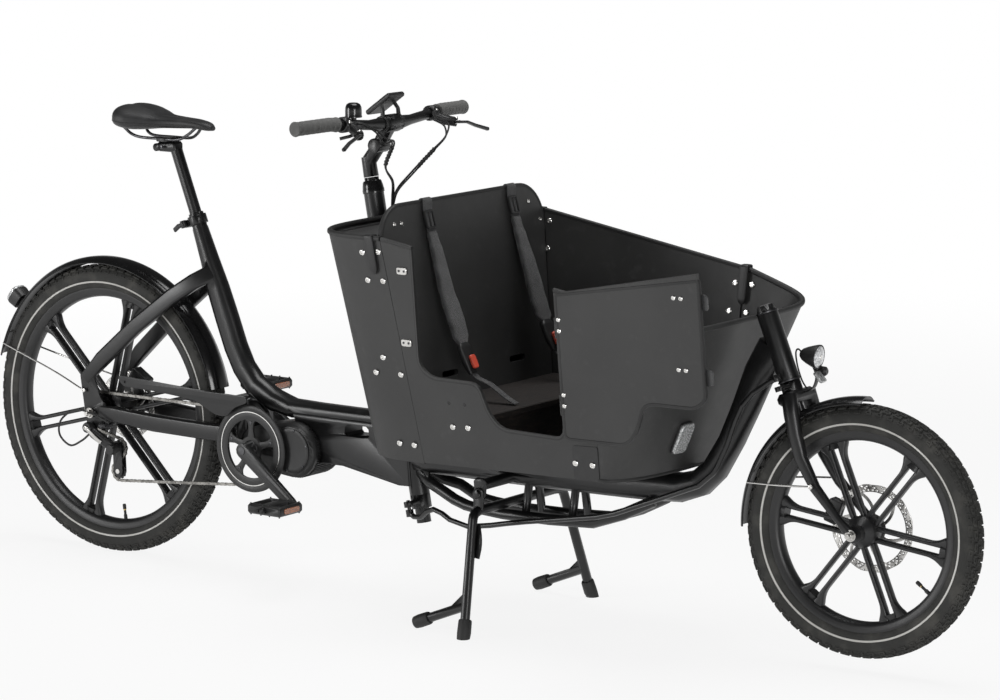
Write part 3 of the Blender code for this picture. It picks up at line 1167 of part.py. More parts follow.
def cargo_frame():
    """The welded front frame: tubes under the box, the formed down tube and the head tube."""
    path = [(0.8880, 0, 0.3160), (0.9180, 0, 0.3170), (1.0600, 0, 0.3175), (1.2500, 0, 0.3195),
            (1.4300, 0, 0.3225),
            (1.5000, 0, 0.3245), (1.5700, 0, 0.3280), (1.6150, 0, 0.3430), (1.6500, 0, 0.3750), (1.6900,
                                                                                                 0, 0.4400),
            (1.7250, 0, 0.5150), (1.7550, 0, 0.5850), (1.7840, 0, 0.6450)]
    sizes = [(MAIN_TUBE_RADIUS, MAIN_TUBE_RADIUS)] * 6 + [
        (0.0310, 0.034), (0.0290, 0.036), (0.0270, 0.036), (0.0260, 0.034), (0.0300, 0.030),
        (0.0340, 0.024), (0.0300, 0.020)]
    frame = bar(path, sizes, 12, 2.2)
    a = Vector((sin(HEAD_LEAN), 0, -cos(HEAD_LEAN)))
    centre = Vector(HEAD_CENTRE)
    pieces = [rod(centre - a * 0.070, centre + a * 0.070, HOUSING_RADIUS, sides=20)]
    lower = [(0.900, 0.2880), (0.937, 0.2690), (0.973, 0.2595), (1.009, 0.2430), (1.040, 0.2340),
             (1.068, 0.2307),
             (1.139, 0.2265), (1.257, 0.2285), (1.368, 0.2350), (1.445, 0.2620), (1.515, 0.2960)]
    for side in (-1, 1):
        run = [(x, side * (0.012 if x < 0.91 else LOWER_TUBE_Y if x > 0.95 and x < 1.47 else 0.026), z)
               for x, z in lower]
        pieces.append(tube(run, LOWER_TUBE_RADIUS, 8))
        for x in (1.192, 1.312):
            pieces.append(rod((x, side * (LOWER_TUBE_Y - 0.006), 0.228), (x, side * 0.016, 0.300),
                              0.0090, sides=8))
    ear_in = STAND_EAR_Y - GAP - EAR_THICKNESS
    tube_end = ear_in + EAR_THICKNESS / 2
    pieces.append(rod((STAND_PIVOT[0], -tube_end, 0.3060), (STAND_PIVOT[0], tube_end, 0.3060), 0.0120,
                      sides=14))
    for side in (-1, 1):
        lug = bent([(STAND_PIVOT[0] - 0.016, 0.322, 0), (STAND_PIVOT[0] + 0.016, 0.322, 0),
                    (STAND_PIVOT[0] + 0.012, 0.276, 0), (STAND_PIVOT[0] - 0.012, 0.276, 0)], 0.008, 1, True)
        pieces.append(plate([point[:2] for point in lug], EAR_THICKNESS,
                            (0, side * (STAND_EAR_Y - GAP - EAR_THICKNESS / 2), 0)))
        pieces.append(rod((STAND_PIVOT[0], side * (ear_in + 0.002), STAND_PIVOT[2]),
                          (STAND_PIVOT[0], side * (STAND_EAR_Y + EAR_THICKNESS + 0.006), STAND_PIVOT[2]),
                          PIVOT_BOLT, sides=12))
        pieces.append(rod((STAND_PIVOT[0], side * (STAND_EAR_Y + EAR_THICKNESS + 0.001), STAND_PIVOT[2]),
                          (STAND_PIVOT[0], side * (STAND_EAR_Y + EAR_THICKNESS + 0.007), STAND_PIVOT[2]),
                          0.0095, sides=6))
    for x, inset in ((0.985, 0.0525), (1.240, 0.0275), (1.500, 0.0375)):
        top = floor_bottom(x) - GAP
        half = BOX_HALF_FOOT - inset
        pieces.append(block((0.030, 2 * half, 0.014), (x, 0, top - 0.0075), 0.002, -atan2(BOX_RISE, 1)))
        pieces.append(block((0.024, 0.040, 0.030), (x, 0, top - 0.020)))
    frame = joined(frame, *pieces)
    bore = rod(centre - a * 0.080, centre + a * 0.080, 0.0156, sides=16)
    housing_space = rod(column_point(0.05), column_point(-HOUSING_LENGTH - 0.05), HOUSING_RADIUS + GAP,
                        sides=20)
    frame = cut(frame, bore, housing_space)
    finish("cargo_frame", frame, FRAME_PAINT, BIKE)


def stand():
    """The centre stand: ears on the pivot bolts, a cross bar, and a forked leg on each side."""
    px, py, pz = STAND_PIVOT
    pieces = []
    corner = STAND_EAR_Y + EAR_THICKNESS / 2
    half = corner + 0.004
    cross = rod((px, -half, STAND_BAR_Z), (px, half, STAND_BAR_Z), STAND_TUBE, sides=12)
    for side in (-1, 1):
        ear = bent([(px - 0.013, pz + 0.013, 0), (px + 0.013, pz + 0.013, 0),
                    (px + 0.011, STAND_BAR_Z - 0.006, 0),
                    (px - 0.011, STAND_BAR_Z - 0.006, 0)], 0.009, 1, True)
        pieces.append(plate([point[:2] for point in ear], EAR_THICKNESS, (0, side * corner, 0),
                            holes=[circle((px, pz), PIVOT_BOLT + GAP, 12)]))
        knee = Vector((px, side * (half + 0.004), STAND_BAR_Z))
        foot = Vector((1.179, side * 0.236, 0.0))
        down = (foot - Vector((1.152, side * 0.160, 0.220))).normalized()
        leg = bent([(px, side * (corner - 0.01), STAND_BAR_Z), (1.152, side * 0.162, STAND_BAR_Z - 0.002),
                    foot - down * 0.020], 0.024, 3)
        pieces.append(tube(leg, STAND_TUBE, 8))
        pieces.append(rod(foot - down * 0.026, foot + down * 0.010, 0.0135, sides=12))
        branch = Vector((1.172, side * 0.2150, 0.066))
        rear_foot = Vector((1.042, side * 0.218, 0.0))
        back = (rear_foot + Vector((0, 0, 0.012)) - branch).normalized()
        tip = rear_foot + Vector((0, 0, 0.0135))
        pieces.append(rod(branch, tip - back * 0.010, STAND_TUBE - 0.0005, sides=8))
        pieces.append(rod(tip - back * 0.030, tip - back * 0.002, 0.0135, sides=12))
        gusset = [(1.168, 0.094), (1.170, 0.060), (1.130, 0.046), (1.124, 0.052)]
        pieces.append(plate(gusset, 0.004, (0, side * 0.2150, 0)))
    whole = joined(cross, *pieces)
    under = block((0.40, 0.60, 0.05), (1.12, 0, -0.025))
    finish("center_stand", cut(whole, under), FRAME_PAINT, STAND, BIKE)


def floor_bottom(x):
    """Height of the underside of the box's floor."""
    return BOX_FOOT + 0.006 + (x - 1.080) * BOX_RISE


def half_width(z):
    """Half of the box's outer width at a height."""
    return BOX_HALF_FOOT + BOX_FLARE * (z - BOX_DATUM)


def rear_joint(z):
    """Where the side boards meet the rear shell at a height."""
    return REAR_JOINT_FOOT + (REAR_JOINT_RIM - REAR_JOINT_FOOT) * (z - BOX_DATUM) / (RIM_REAR_Z - BOX_DATUM)


def front_joint(z):
    """Where the side boards meet the front shell at a height."""
    return FRONT_JOINT_FOOT + (FRONT_JOINT_RIM - FRONT_JOINT_FOOT) * (z - BOX_DATUM) / (RIM_FRONT_Z - BOX_DATUM)


def rear_end(z):
    """Where the rear shell's back wall stands at a height."""
    return REAR_END_FOOT + (REAR_END_RIM - REAR_END_FOOT) * (z - BOX_DATUM) / (RIM_REAR_Z - BOX_DATUM)


def foot_height(x):
    """Height of the box's lower edge."""
    return BOX_FOOT + (x - 1.080) * BOX_RISE


def rear_ring(z, inset, steps=16):
    """The rear shell in plan at a height: a blunt U from one joint round the back to the other."""
    points = []
    start = rear_joint(z)
    depth = start - rear_end(z) - inset
    half = half_width(z) - inset
    for step in range(steps + 1):
        angle = pi * step / steps
        u = sin(angle) ** (2 / 3.8)
        v = abs(cos(angle)) ** (2 / 3.8) * (1 if cos(angle) >= 0 else -1)
        points.append((start - depth * u, half * v, z))
    return points


def front_ring(part, inset, steps=20):
    """The front shell at a part of its height, from 0 at its foot to 1 at its sloping rim."""
    power = 2.3 + (6.0 - 2.3) * part
    start = FRONT_JOINT_FOOT + (FRONT_JOINT_RIM - FRONT_JOINT_FOOT) * part
    end = FRONT_END_FOOT + (FRONT_END_RIM - FRONT_END_FOOT) * part
    points = []
    for step in range(steps + 1):
        angle = pi * step / steps
        u = sin(angle) ** (2 / power)
        v = abs(cos(angle)) ** (2 / power) * (1 if cos(angle) >= 0 else -1)
        foot = foot_height(FRONT_JOINT_FOOT)
        rim = RIM_FRONT_Z + (FRONT_TIP_Z - RIM_FRONT_Z) * u
        z = foot + (rim - foot) * part
        half = half_width(z) - inset
        points.append((start + (end - start - inset) * u, half * v, z))
    return points


def box_shells():
    """The moulded ends of the box: the rear one round the compartment and the blunt nose."""
    middle = SHELL / 2
    foot = foot_height(1.000)
    rear = surface([rear_ring(z, middle) for z in (foot, (foot + RIM_REAR_Z) / 2, RIM_REAR_Z)])
    rear = moved(thickened(rear, SHELL), at(-0.0008, 0, 0))
    finish("box_rear_shell", rear, BOX_PLASTIC, BIKE)
    front = surface([front_ring(part / 4, middle) for part in range(5)])
    front = moved(thickened(front, SHELL), at(0.0001, 0, 0))
    finish("box_front_shell", front, BOX_PLASTIC, BIKE)


def rim_height(x):
    """Height of the side boards' top edge."""
    slope = (RIM_FRONT_Z - RIM_REAR_Z) / (FRONT_JOINT_RIM - REAR_JOINT_RIM)
    return RIM_REAR_Z + slope * (x - REAR_JOINT_RIM)


def doorway():
    """The edge of the doorway in the right board, from the rear at the rim down and forward."""
    return bent([(1.0965, rim_height(1.0965) + 0.02, 0), (1.0920, 0.5740, 0), (1.1200, 0.5525, 0),
                 (1.2400, 0.5515, 0),
                 (1.2620, 0.4900, 0), (1.2900, 0.4600, 0), (1.4475, 0.4570, 0),
                 (1.4475, rim_height(1.4475) + 0.02, 0)], 0.022, 3)


def side_board(side, outline):
    """A board in the side's leaning plane, its outer face on the box's outer width."""
    sheet = plate(outline, BOARD, (0, 0, 0))
    outward = side * (BOX_HALF_FOOT - BOARD / 2)
    return moved(sheet, at(0, outward, 0), sheared(side * BOX_FLARE, 0, BOX_DATUM))


def leaf(across, up, out, thickness):
    """A small plate that stands a distance out from the right side's face and leans with it."""
    (rear, front), (low, high) = across, up
    sheet = plate([(rear, low), (front, low), (front, high), (rear, high)], thickness, (0, 0, 0))
    return moved(sheet, at(0, -BOX_HALF_FOOT - out - thickness / 2, 0), sheared(-BOX_FLARE, 0, BOX_DATUM))


def box_hinges():
    """The fixed halves of the two door hinges, with the pins that the door turns on."""
    way = Vector((0, -BOX_FLARE, 1)).normalized()
    pieces = []
    for z in HINGE_HEIGHTS:
        line = Vector((HINGE_X, -half_width(z) - HINGE_OUT, z))
        pieces.append(leaf((HINGE_X + 0.006, HINGE_X + 0.028), (z - 0.022, z + 0.022), -0.0005, 0.003))
        pieces.append(rod(line - way * 0.0215, line + way * 0.0215, PIN_RADIUS, sides=10))
        for end in (-1, 1):
            pieces.append(rod(line + way * end * 0.0110, line + way * end * 0.0215, KNUCKLE_RADIUS,
                              sides=10))
            low, high = sorted((z + end * 0.0112, z + end * 0.0208))
            pieces.append(leaf((HINGE_X - 0.003, HINGE_X + 0.008), (low, high), -0.0005, 0.004))
    return pieces


def box_boards():
    """The two side boards, with the doorway cut in the right one, and the floor between them."""
    trim = 2 * GAP
    outline = [(REAR_JOINT_FOOT + trim, foot_height(REAR_JOINT_FOOT)),
               (FRONT_JOINT_FOOT - trim, foot_height(FRONT_JOINT_FOOT)),
               (FRONT_JOINT_RIM - trim, RIM_FRONT_Z), (REAR_JOINT_RIM + trim, RIM_REAR_Z)]
    finish("box_side_left", side_board(1, outline), BOX_PLASTIC, BIKE)
    opening = plate([point[:2] for point in doorway()], 0.2, (0, -BOX_HALF_FOOT, 0))
    right = cut(side_board(-1, outline), opening)
    finish("box_side_right", joined(right, *box_hinges()), BOX_PLASTIC, BIKE)
    inset = SHELL + 0.0015
    level = floor_bottom(REAR_JOINT_FOOT)
    rear = [point[:2] for point in rear_ring(level, inset)]
    front = [point[:2] for point in front_ring(0.0, inset, 16)]
    edge = half_width(level) - BOARD - 0.001
    rear = [(x, max(-edge, min(edge, y))) for x, y in rear]
    front = [(x, max(-edge, min(edge, y))) for x, y in front]
    floor = plate(rear + list(reversed(front)), FLOOR_THICKNESS, (0, 0, 0), "XY")
    rise = -atan2(BOX_RISE, 1)
    floor = moved(floor, at(0, 0, floor_bottom(1.080) + FLOOR_THICKNESS / 2), at(1.080, 0, 0),
                  turn(rise, "Y"), at(-1.080, 0, 0))
    finish("box_floor", floor, BOX_PLASTIC, BIKE)


def backrest_face(z):
    """Where the backrest's front face stands at a height."""
    return BACKREST_X + (0.859 - z) * BACKREST_LEAN


def box_inside():
    """The backrest, the bench on its riser and the lid over the rear compartment."""
    low = floor_bottom(1.080) + FLOOR_THICKNESS + 0.001
    inner = half_width(RIM_REAR_Z) - BOARD - 0.0015
    foot = half_width(low) - BOARD - 0.0015
    outline = bent([(-foot, low, 0), (foot, low, 0), (inner, RIM_REAR_Z, 0),
                    (inner - 0.010, BACKREST_TOP, 0),
                    (-inner + 0.010, BACKREST_TOP, 0), (-inner, RIM_REAR_Z, 0)], 0.001, 1, True)
    outline = [point[:2] for point in outline]
    corner = 0.075
    arch = [(-foot, low), (foot, low), (inner, RIM_REAR_Z - 0.012)]
    arch += arc((inner - corner, BACKREST_TOP - corner), corner, 0, pi / 2, 5)
    arch += arc((-inner + corner, BACKREST_TOP - corner), corner, pi / 2, pi, 5)
    arch += [(-inner, RIM_REAR_Z - 0.012)]
    slots = [bent([(y - 0.028, 0.526, 0), (y + 0.028, 0.526, 0), (y + 0.028, 0.540, 0),
                   (y - 0.028, 0.540, 0)],
                  0.007, 2, True) for y in (-0.115, 0.126)]
    board = plate(arch, BACKREST, (0, 0, 0), "YZ", holes=[[p[:2] for p in slot] for slot in slots])
    board = moved(board, at(BACKREST_X - BACKREST / 2, 0, 0), sheared(0, -BACKREST_LEAN, 0.859))
    finish("backrest", board, BOX_PLASTIC, BIKE)
    back = backrest_face(BENCH_TOP - 0.014) + 0.0004
    half = half_width(BENCH_TOP - 0.014) - BOARD - 0.0004
    seat_board = block((BENCH_FRONT - back, 2 * half, 0.014),
                       ((BENCH_FRONT + back) / 2, 0, BENCH_TOP - 0.007), 0.002)
    riser_low = floor_bottom(BENCH_FRONT) + FLOOR_THICKNESS + 0.0005
    riser_half = half_width(riser_low) - BOARD - 0.0005
    riser = block((0.012, 2 * riser_half, BENCH_TOP - 0.006 - riser_low),
                  (BENCH_FRONT - 0.022, 0, (BENCH_TOP - 0.006 + riser_low) / 2))
    finish("bench", joined(seat_board, riser), BENCH_WOOD, BIKE)
    level = RIM_REAR_Z - 0.010
    ring = [point[:2] for point in rear_ring(level - 0.006, SHELL + 0.0020)]
    edge = backrest_face(level) - BACKREST - 0.0004
    lid = [(min(x, edge), y) for x, y in ring]
    finish("box_lid", plate(lid, 0.006, (0, 0, level - 0.003), "XY"), BOX_PLASTIC, BIKE)


def door():
    """The door in the right side, drawn shut in its doorway and swung back flat to the nose."""
    edge = [Vector(point[:2]) for point in doorway()]
    top = rim_height(edge[0].x) - 0.001
    middle = Vector((1.27, 0.66))
    inner = []
    for index, point in enumerate(edge):
        before = edge[max(index - 1, 0)]
        after = edge[min(index + 1, len(edge) - 1)]
        along = (after - before).normalized()
        inner.append(point + Vector((-along.y, along.x)) * DOOR_GAP)
    inner[0] = Vector((inner[0].x, rim_height(inner[0].x) + 0.009))
    inner[-1] = Vector((inner[-1].x, rim_height(inner[-1].x) - 0.001))
    board = side_board(-1, [tuple(point) for point in inner])
    way = Vector((0, -BOX_FLARE, 1)).normalized()
    level = 0.60
    pivot = Vector((HINGE_X, -half_width(level) - HINGE_OUT, level))
    swing = Matrix.Translation(pivot) @ Matrix.Rotation(pi, 4, way) @ Matrix.Translation(-pivot)
    axis = carrier("door_hinge", BIKE, pivot)
    knuckles = []
    for z in HINGE_HEIGHTS:
        line = pivot + way * ((z - level) / way.z)
        knuckles.append(rod(line - way * 0.0105, line + way * 0.0105, KNUCKLE_RADIUS, sides=10))
        knuckles.append(leaf((HINGE_X, HINGE_X + 0.012), (z - 0.009, z + 0.009), HINGE_OUT + 0.0005, 0.004))
        knuckles.append(leaf((HINGE_X + 0.008, HINGE_X + 0.030), (z - 0.020, z + 0.020),
                             2 * HINGE_OUT - 0.0025, 0.003))
    whole = joined(moved(board, swing), *knuckles)
    bores = []
    for z in HINGE_HEIGHTS:
        line = pivot + way * ((z - level) / way.z)
        bores.append(rod(line - way * 0.015, line + way * 0.015, PIN_RADIUS + GAP, sides=10))
    finish("door", cut(whole, *bores), BOX_PLASTIC, axis, BIKE)
    for name, z in (("latch_upper", 0.770), ("latch_lower", 0.620)):
        free_edge = 2 * HINGE_X - (1.0920 + (z - 0.574) * 0.017 + DOOR_GAP)
        outline = bent([(free_edge - 0.018, z - 0.020, 0), (free_edge + 0.014, z - 0.015, 0),
                        (free_edge + 0.014, z + 0.015, 0), (free_edge - 0.018, z + 0.020,
                                                            0)], 0.005, 2, True)
        hook = plate([point[:2] for point in outline], LATCH_THICKNESS)
        face = -BOX_HALF_FOOT - 2 * HINGE_OUT + GAP
        hook = moved(hook, at(0, face + LATCH_THICKNESS / 2, 0), sheared(-BOX_FLARE, 0, BOX_DATUM))
        place = Vector((free_edge - 0.018, -half_width(z) - 2 * HINGE_OUT + GAP, z))
        pin = carrier(name + "_axis", axis, axis.matrix_world.inverted() @ BIKE.matrix_world @ place)
        finish(name, hook, BLACK_PLASTIC, pin, BIKE)


def harness():
    """Two harness straps over the backrest, each down to its buckle and on to the bench."""
    for label, y, low in (("right", -0.130, 0.5850), ("left", 0.170, 0.5950)):
        behind = BACKREST_X - BACKREST - 0.012
        front = 0.0030
        top = BACKREST_TOP
        path = [(backrest_face(top - 0.026) - BACKREST - front, y, top - 0.026),
                (backrest_face(top - 0.001) - BACKREST - front, y, top - 0.001),
                (backrest_face(top + 0.003) - BACKREST / 2, y, top + front + 0.001),
                (backrest_face(top - 0.003) + front + 0.001, y, top - 0.001),
                (backrest_face(top - 0.041) + 0.008, y, top - 0.041), (backrest_face(0.720) + 0.034, y,
                                                                       0.7200),
                (1.1040, y, low + 0.020), (1.1120, y, low), (1.1330, y, low - 0.045),
                (1.1750, y, 0.5200), (BENCH_FRONT - 0.020, y, BENCH_TOP + 0.0035)]
        sizes = [(0.0011, 0.0125), (0.0011, 0.0125), (0.0011, 0.0125), (0.0011, 0.0125), (0.0014, 0.0150),
                 (0.0050, 0.0220), (0.0050, 0.0200), (0.0070, 0.0140), (0.0080, 0.0130), (0.0014, 0.0110),
                 (0.0014, 0.0110)]
        strap = bar(path, sizes, 8, 4.0)
        seat_of_button = Vector((1.1225, y, low - 0.022))
        tilt = atan2(0.045, 0.021)
        well = moved(block((0.018, 0.016, 0.028), (0, 0, 0)), at(*seat_of_button), turn(radians(-25), "Y"),
                     at(0.0085, 0, 0))
        finish("harness_" + label, cut(strap, well), WEBBING, BIKE)
        axis = carrier("buckle_axis_" + label, BIKE, seat_of_button)
        button = moved(block((0.0100, 0.0140, 0.0260), (0, 0, 0), 0.002), turn(radians(-25), "Y"),
                       at(0.0078, 0, 0))
        finish("buckle_button_" + label, button, RED_BUTTON, axis)


rear_frame()
motor()
cranks()
chainring()
pedals()
drive()
chain_guard()
rear_fender()
rear_caliper()
rear_wheel()
seat()
steering()
fork()
front_fender()
front_caliper()
front_wheel()
tie_rod()
cargo_frame()
stand()
box_shells()
box_boards()
box_inside()
door()
harness()
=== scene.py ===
"""Looks of the front-loading cargo bike: finishes, tyres, soft parts, trims and small fittings."""
import json

import bmesh
import bpy
import numpy as np
from mathutils import Matrix, Vector

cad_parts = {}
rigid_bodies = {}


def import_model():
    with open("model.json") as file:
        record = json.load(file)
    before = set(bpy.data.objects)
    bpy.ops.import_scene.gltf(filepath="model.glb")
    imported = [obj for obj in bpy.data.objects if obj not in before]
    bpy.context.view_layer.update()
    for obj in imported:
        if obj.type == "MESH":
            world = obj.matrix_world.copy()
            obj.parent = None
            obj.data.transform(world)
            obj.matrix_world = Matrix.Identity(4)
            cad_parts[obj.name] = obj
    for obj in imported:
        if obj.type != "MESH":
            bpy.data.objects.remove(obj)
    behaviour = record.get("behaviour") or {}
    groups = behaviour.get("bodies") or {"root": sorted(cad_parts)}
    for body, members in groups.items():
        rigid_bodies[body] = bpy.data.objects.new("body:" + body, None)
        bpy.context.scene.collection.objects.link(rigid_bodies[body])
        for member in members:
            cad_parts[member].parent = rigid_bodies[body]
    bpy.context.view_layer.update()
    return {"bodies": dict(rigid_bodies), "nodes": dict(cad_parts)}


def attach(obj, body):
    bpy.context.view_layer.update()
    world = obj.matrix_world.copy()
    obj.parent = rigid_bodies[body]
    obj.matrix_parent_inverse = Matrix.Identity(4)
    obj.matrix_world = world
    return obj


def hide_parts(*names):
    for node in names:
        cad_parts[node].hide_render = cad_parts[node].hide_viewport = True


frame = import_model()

# Driving sizes, in metres from the rear axle's foot on the ground; REACH is the row frame's origin there
PI = np.pi
REACH = 0.961
REAR_AXLE = (0.0, 0.0, 0.3345)
REAR_RADIUS = 0.3345
REAR_BEAD = 0.2795
FRONT_RADIUS = 0.2575
FRONT_BEAD = 0.203
TYRE_WALL = 0.0264
TYRE_HALF = 0.0270
BEAD_HALF = 0.0165
CROWN_DROP = 0.0040
CROWN_RISE = 0.82
CROWN_SPREAD = 0.92
COLUMN_TOP = (0.7691, 0.0, 0.8891)
COLUMN_LEAN = np.radians(10.28)
BAR_X = 0.06878
BAR_Z = 0.13885
HEAD_CENTRE = (1.798, 0.0, 0.643)
HEAD_LEAN = np.radians(22.0)
STEER = np.radians(4.83)
AXLE_AHEAD = 0.0534
AXLE_BELOW = 0.4055
FENDER_CENTRE = (-0.0017, 0.0, 0.3430)
FENDER_HALF = 0.031
CRANK = (0.469, 0.0, 0.300)
CRANK_LENGTH = 0.170
CRANK_TURN = np.radians(-37.5)
CRANK_OUT = 0.0885
UPPER_PULLEY = (0.0574, 0.2542)
LOWER_PULLEY = (0.0590, 0.2006)
PULLEY_Y = -0.0464
COG_Y = -0.0445
RING_Y = -0.060
COG_PITCH = 0.0445
RING_PITCH = 0.0835
PULLEY_PITCH = 0.0223
LINK = 0.0127
MOTOR = (0.575, 0.0, 0.305)
SHELL = 0.004
BOARD = 0.008
BEAD = 0.0044
FOOT_Z = 0.37
SIDE_FOOT = 0.2425
SIDE_LEAN = 0.117
RIM_REAR = 0.835
RIM_FRONT = 0.748
NOSE_RIM = 0.690
REAR_JOINT = 1.016
FRONT_JOINT = 1.540
NOSE_FOOT = 1.527
DOOR_REAR = 1.0965
DOOR_FRONT = 1.4475
HINGE_X = 1.4535
HINGE_Z = 0.60
HINGE_OUT = 0.006
BACKREST_X = 1.0105
BACKREST_Z = 0.859
BACKREST_LEAN = 0.149
BACKREST_TOP = 0.896
# The saddle's stations in millimetres: x, half width, height and thickness
SADDLE = [(58, 28, 1012, 16), (66, 52, 1012, 26), (82, 71, 1012.5, 30.5), (110, 75, 1010, 30),
          (145, 60, 1008, 24.5), (180, 42, 1006, 17.5), (225, 29, 1005.5, 14.5), (270, 24, 1005, 12),
          (302, 18, 1001, 10.5), (317, 8, 998, 6)]


# Camera, as the photograph was taken

def camera():
    """The photograph's camera: a long lens from the front right, a little above the rim of the box."""
    right = Vector((0.808094, 0.589027, -0.005493))
    up = Vector((-0.091184, 0.134299, 0.986737))
    back = Vector((0.581953, -0.796876, 0.162236))
    data = bpy.data.cameras.new("camera")
    data.sensor_width = 36.0
    data.lens = 134.04
    data.clip_end = 60.0
    holder = bpy.data.objects.new("camera", data)
    bpy.context.scene.collection.objects.link(holder)
    turn = Matrix((right, up, back)).transposed().to_4x4()
    holder.matrix_world = Matrix.Translation((5.70442 - REACH, -6.29792, 1.85369)) @ turn
    bpy.context.scene.camera = holder


camera()


# Finishes: shader maths written as expressions

class Signal:
    """A socket of a node tree; arithmetic on it adds Math nodes."""

    def __init__(self, graph, socket):
        self.graph = graph
        self.socket = socket

    def maths(self, operation, other=0.0):
        return self.graph.node("Math", {"operation": operation}, {0: self, 1: other})

    def __add__(self, other):
        return self.maths("ADD", other)

    def __mul__(self, other):
        return self.maths("MULTIPLY", other)

    __radd__ = __add__
    __rmul__ = __mul__

    def wave(self):
        return self.maths("SINE")

    def over(self, level):
        return self.maths("GREATER_THAN", level)

    def eased(self, low, high):
        """0 below low and 1 above high, with a smooth rise between."""
        return self.graph.node("MapRange", {"interpolation_type": "SMOOTHSTEP"},
                               {"Value": self, "From Min": low, "From Max": high})


class Graph:
    """A node tree, emptied first, and one method that adds any node."""

    def __init__(self, tree):
        self.tree = tree
        tree.nodes.clear()

    def feed(self, socket, value):
        """Link a signal to a socket, or write a constant on it."""
        if isinstance(value, Signal):
            self.tree.links.new(value.socket, socket)
        elif np.ndim(value) and len(socket.default_value) == 4:
            socket.default_value = (*value[:3], 1.0)
        else:
            socket.default_value = value

    def node(self, kind, settings=None, inputs=None, output=0):
        """A node: its type, its settings, then the values or links of its sockets."""
        made = self.tree.nodes.new("ShaderNode" + kind)
        for key, value in (settings or {}).items():
            setattr(made, key, value)
        for key, value in (inputs or {}).items():
            self.feed(made.inputs[key], value)
        return Signal(self, made.outputs[output]) if made.outputs else made

    def ray(self, kind):
        """1 for the rays of this kind and 0 for the others."""
        return self.node("LightPath", output="Is " + kind + " Ray")


class Finish(Graph):
    """A procedural material and the record's slot that it belongs to."""

    def __init__(self, name, slot, **constants):
        self.slot = slot
        self.material = bpy.data.materials.new(name)
        self.material.use_nodes = True
        super().__init__(self.material.node_tree)
        self.body = self.node("BsdfPrincipled")
        self.shader = self.body.socket.node
        self.surface = self.node("OutputMaterial", {}, {"Surface": self.body}).inputs["Surface"]
        for key, value in constants.items():
            self.feed(self.shader.inputs[key.replace("_", " ")], value)

    def place(self, stretch=(1.0, 1.0, 1.0)):
        """Object coordinates, stretched."""
        return self.node("Mapping", {}, {"Vector": self.node("TexCoord", output="Object"), "Scale": stretch})

    def along(self, axis):
        """One object coordinate as a number."""
        return self.node("SeparateXYZ", {}, {0: self.place()}, axis)

    def noise(self, scale, detail=3.0, stretch=(1.0, 1.0, 1.0)):
        return self.node("TexNoise", {}, {"Vector": self.place(stretch), "Scale": scale, "Detail": detail})

    def cells(self, scale, feature="F1"):
        return self.node("TexVoronoi", {"feature": feature}, {"Vector": self.place(), "Scale": scale})

    def blend(self, mask, first, second):
        """The first colour where mask is 0 and the second where it is 1."""
        return self.node("Mix", {"data_type": "RGBA"}, {0: mask, 6: first, 7: second}, 2)

    def wear(self, colour, rough=None, bumps=None, depth=0.0003, strength=0.4):
        """What changes over the surface goes to the shader."""
        self.feed(self.shader.inputs["Base Color"], colour)
        if rough is not None:
            self.feed(self.shader.inputs["Roughness"], rough)
        if bumps is not None:
            raised = self.node("Bump", {}, {"Strength": strength, "Distance": depth, "Height": bumps})
            self.feed(self.shader.inputs["Normal"], raised)
        return self


def coated(name, slot, dark, light, rough, spread, grain, depth, strength=0.35, **constants):
    """A coat or a moulding: cloudy colour, uneven gloss, a fine grain, and dust that lies on it."""
    finish = Finish(name, slot, **constants)
    cloud = finish.noise(5.0, 4.0)
    smudge = finish.noise(38.0, 5.0)
    fine = finish.noise(grain, 2.0)
    colour = finish.blend(cloud.eased(0.35, 0.68), dark, light)
    dust = [min(1.0, part * 1.5 + 0.004) for part in light]
    colour = finish.blend(smudge.eased(0.56, 0.80) * 0.5, colour, dust)
    return finish.wear(colour, smudge * spread + (rough - spread / 2), fine, depth, strength)


def metal(name, slot, dark, light, rough, spread):
    """Bare metal: faint clouds, fine scratches that change the gloss, and a brushed bump."""
    finish = Finish(name, slot, Metallic=1.0)
    cloud = finish.noise(60.0, 4.0)
    scratch = finish.noise(420.0, 3.0, (1.0, 0.25, 1.0))
    colour = finish.blend(cloud.eased(0.3, 0.7), dark, light)
    return finish.wear(colour, scratch * spread + (rough - spread / 2), scratch, 0.00008, 0.3)


def tread_rubber():
    """Tyre rubber: dull and a little grey, with fine mould grain and dusty patches."""
    finish = Finish("tread_rubber", "tyre_rubber", Specular_IOR_Level=0.35)
    dust = finish.noise(22.0, 6.0).eased(0.46, 0.75)
    colour = finish.blend(dust, (0.034, 0.034, 0.032), (0.070, 0.068, 0.062))
    fine = finish.noise(1100.0, 2.0) + finish.noise(160.0, 2.0) * 0.6
    return finish.wear(colour, finish.noise(30.0, 3.0) * 0.2 + 0.66, fine)


def woven():
    """Webbing: fine ribs across the strap, crossed by its length threads, as a product of two sines."""
    finish = Finish("strap_webbing", "webbing", Sheen_Weight=0.25, Sheen_Roughness=0.5)
    across = (finish.along(1) * (2 * PI / 0.0017)).wave()
    down = ((finish.along(2) + finish.along(0) * 0.45) * (2 * PI / 0.0021)).wave()
    threads = across * down
    colour = finish.blend(threads.eased(-0.7, 0.9), (0.012, 0.012, 0.013), (0.036, 0.036, 0.038))
    colour = finish.blend(finish.noise(26.0, 4.0).eased(0.5, 0.8), colour, (0.050, 0.049, 0.048))
    return finish.wear(colour, finish.noise(300.0) * 0.15 + 0.72, threads, 0.0003, 0.6)


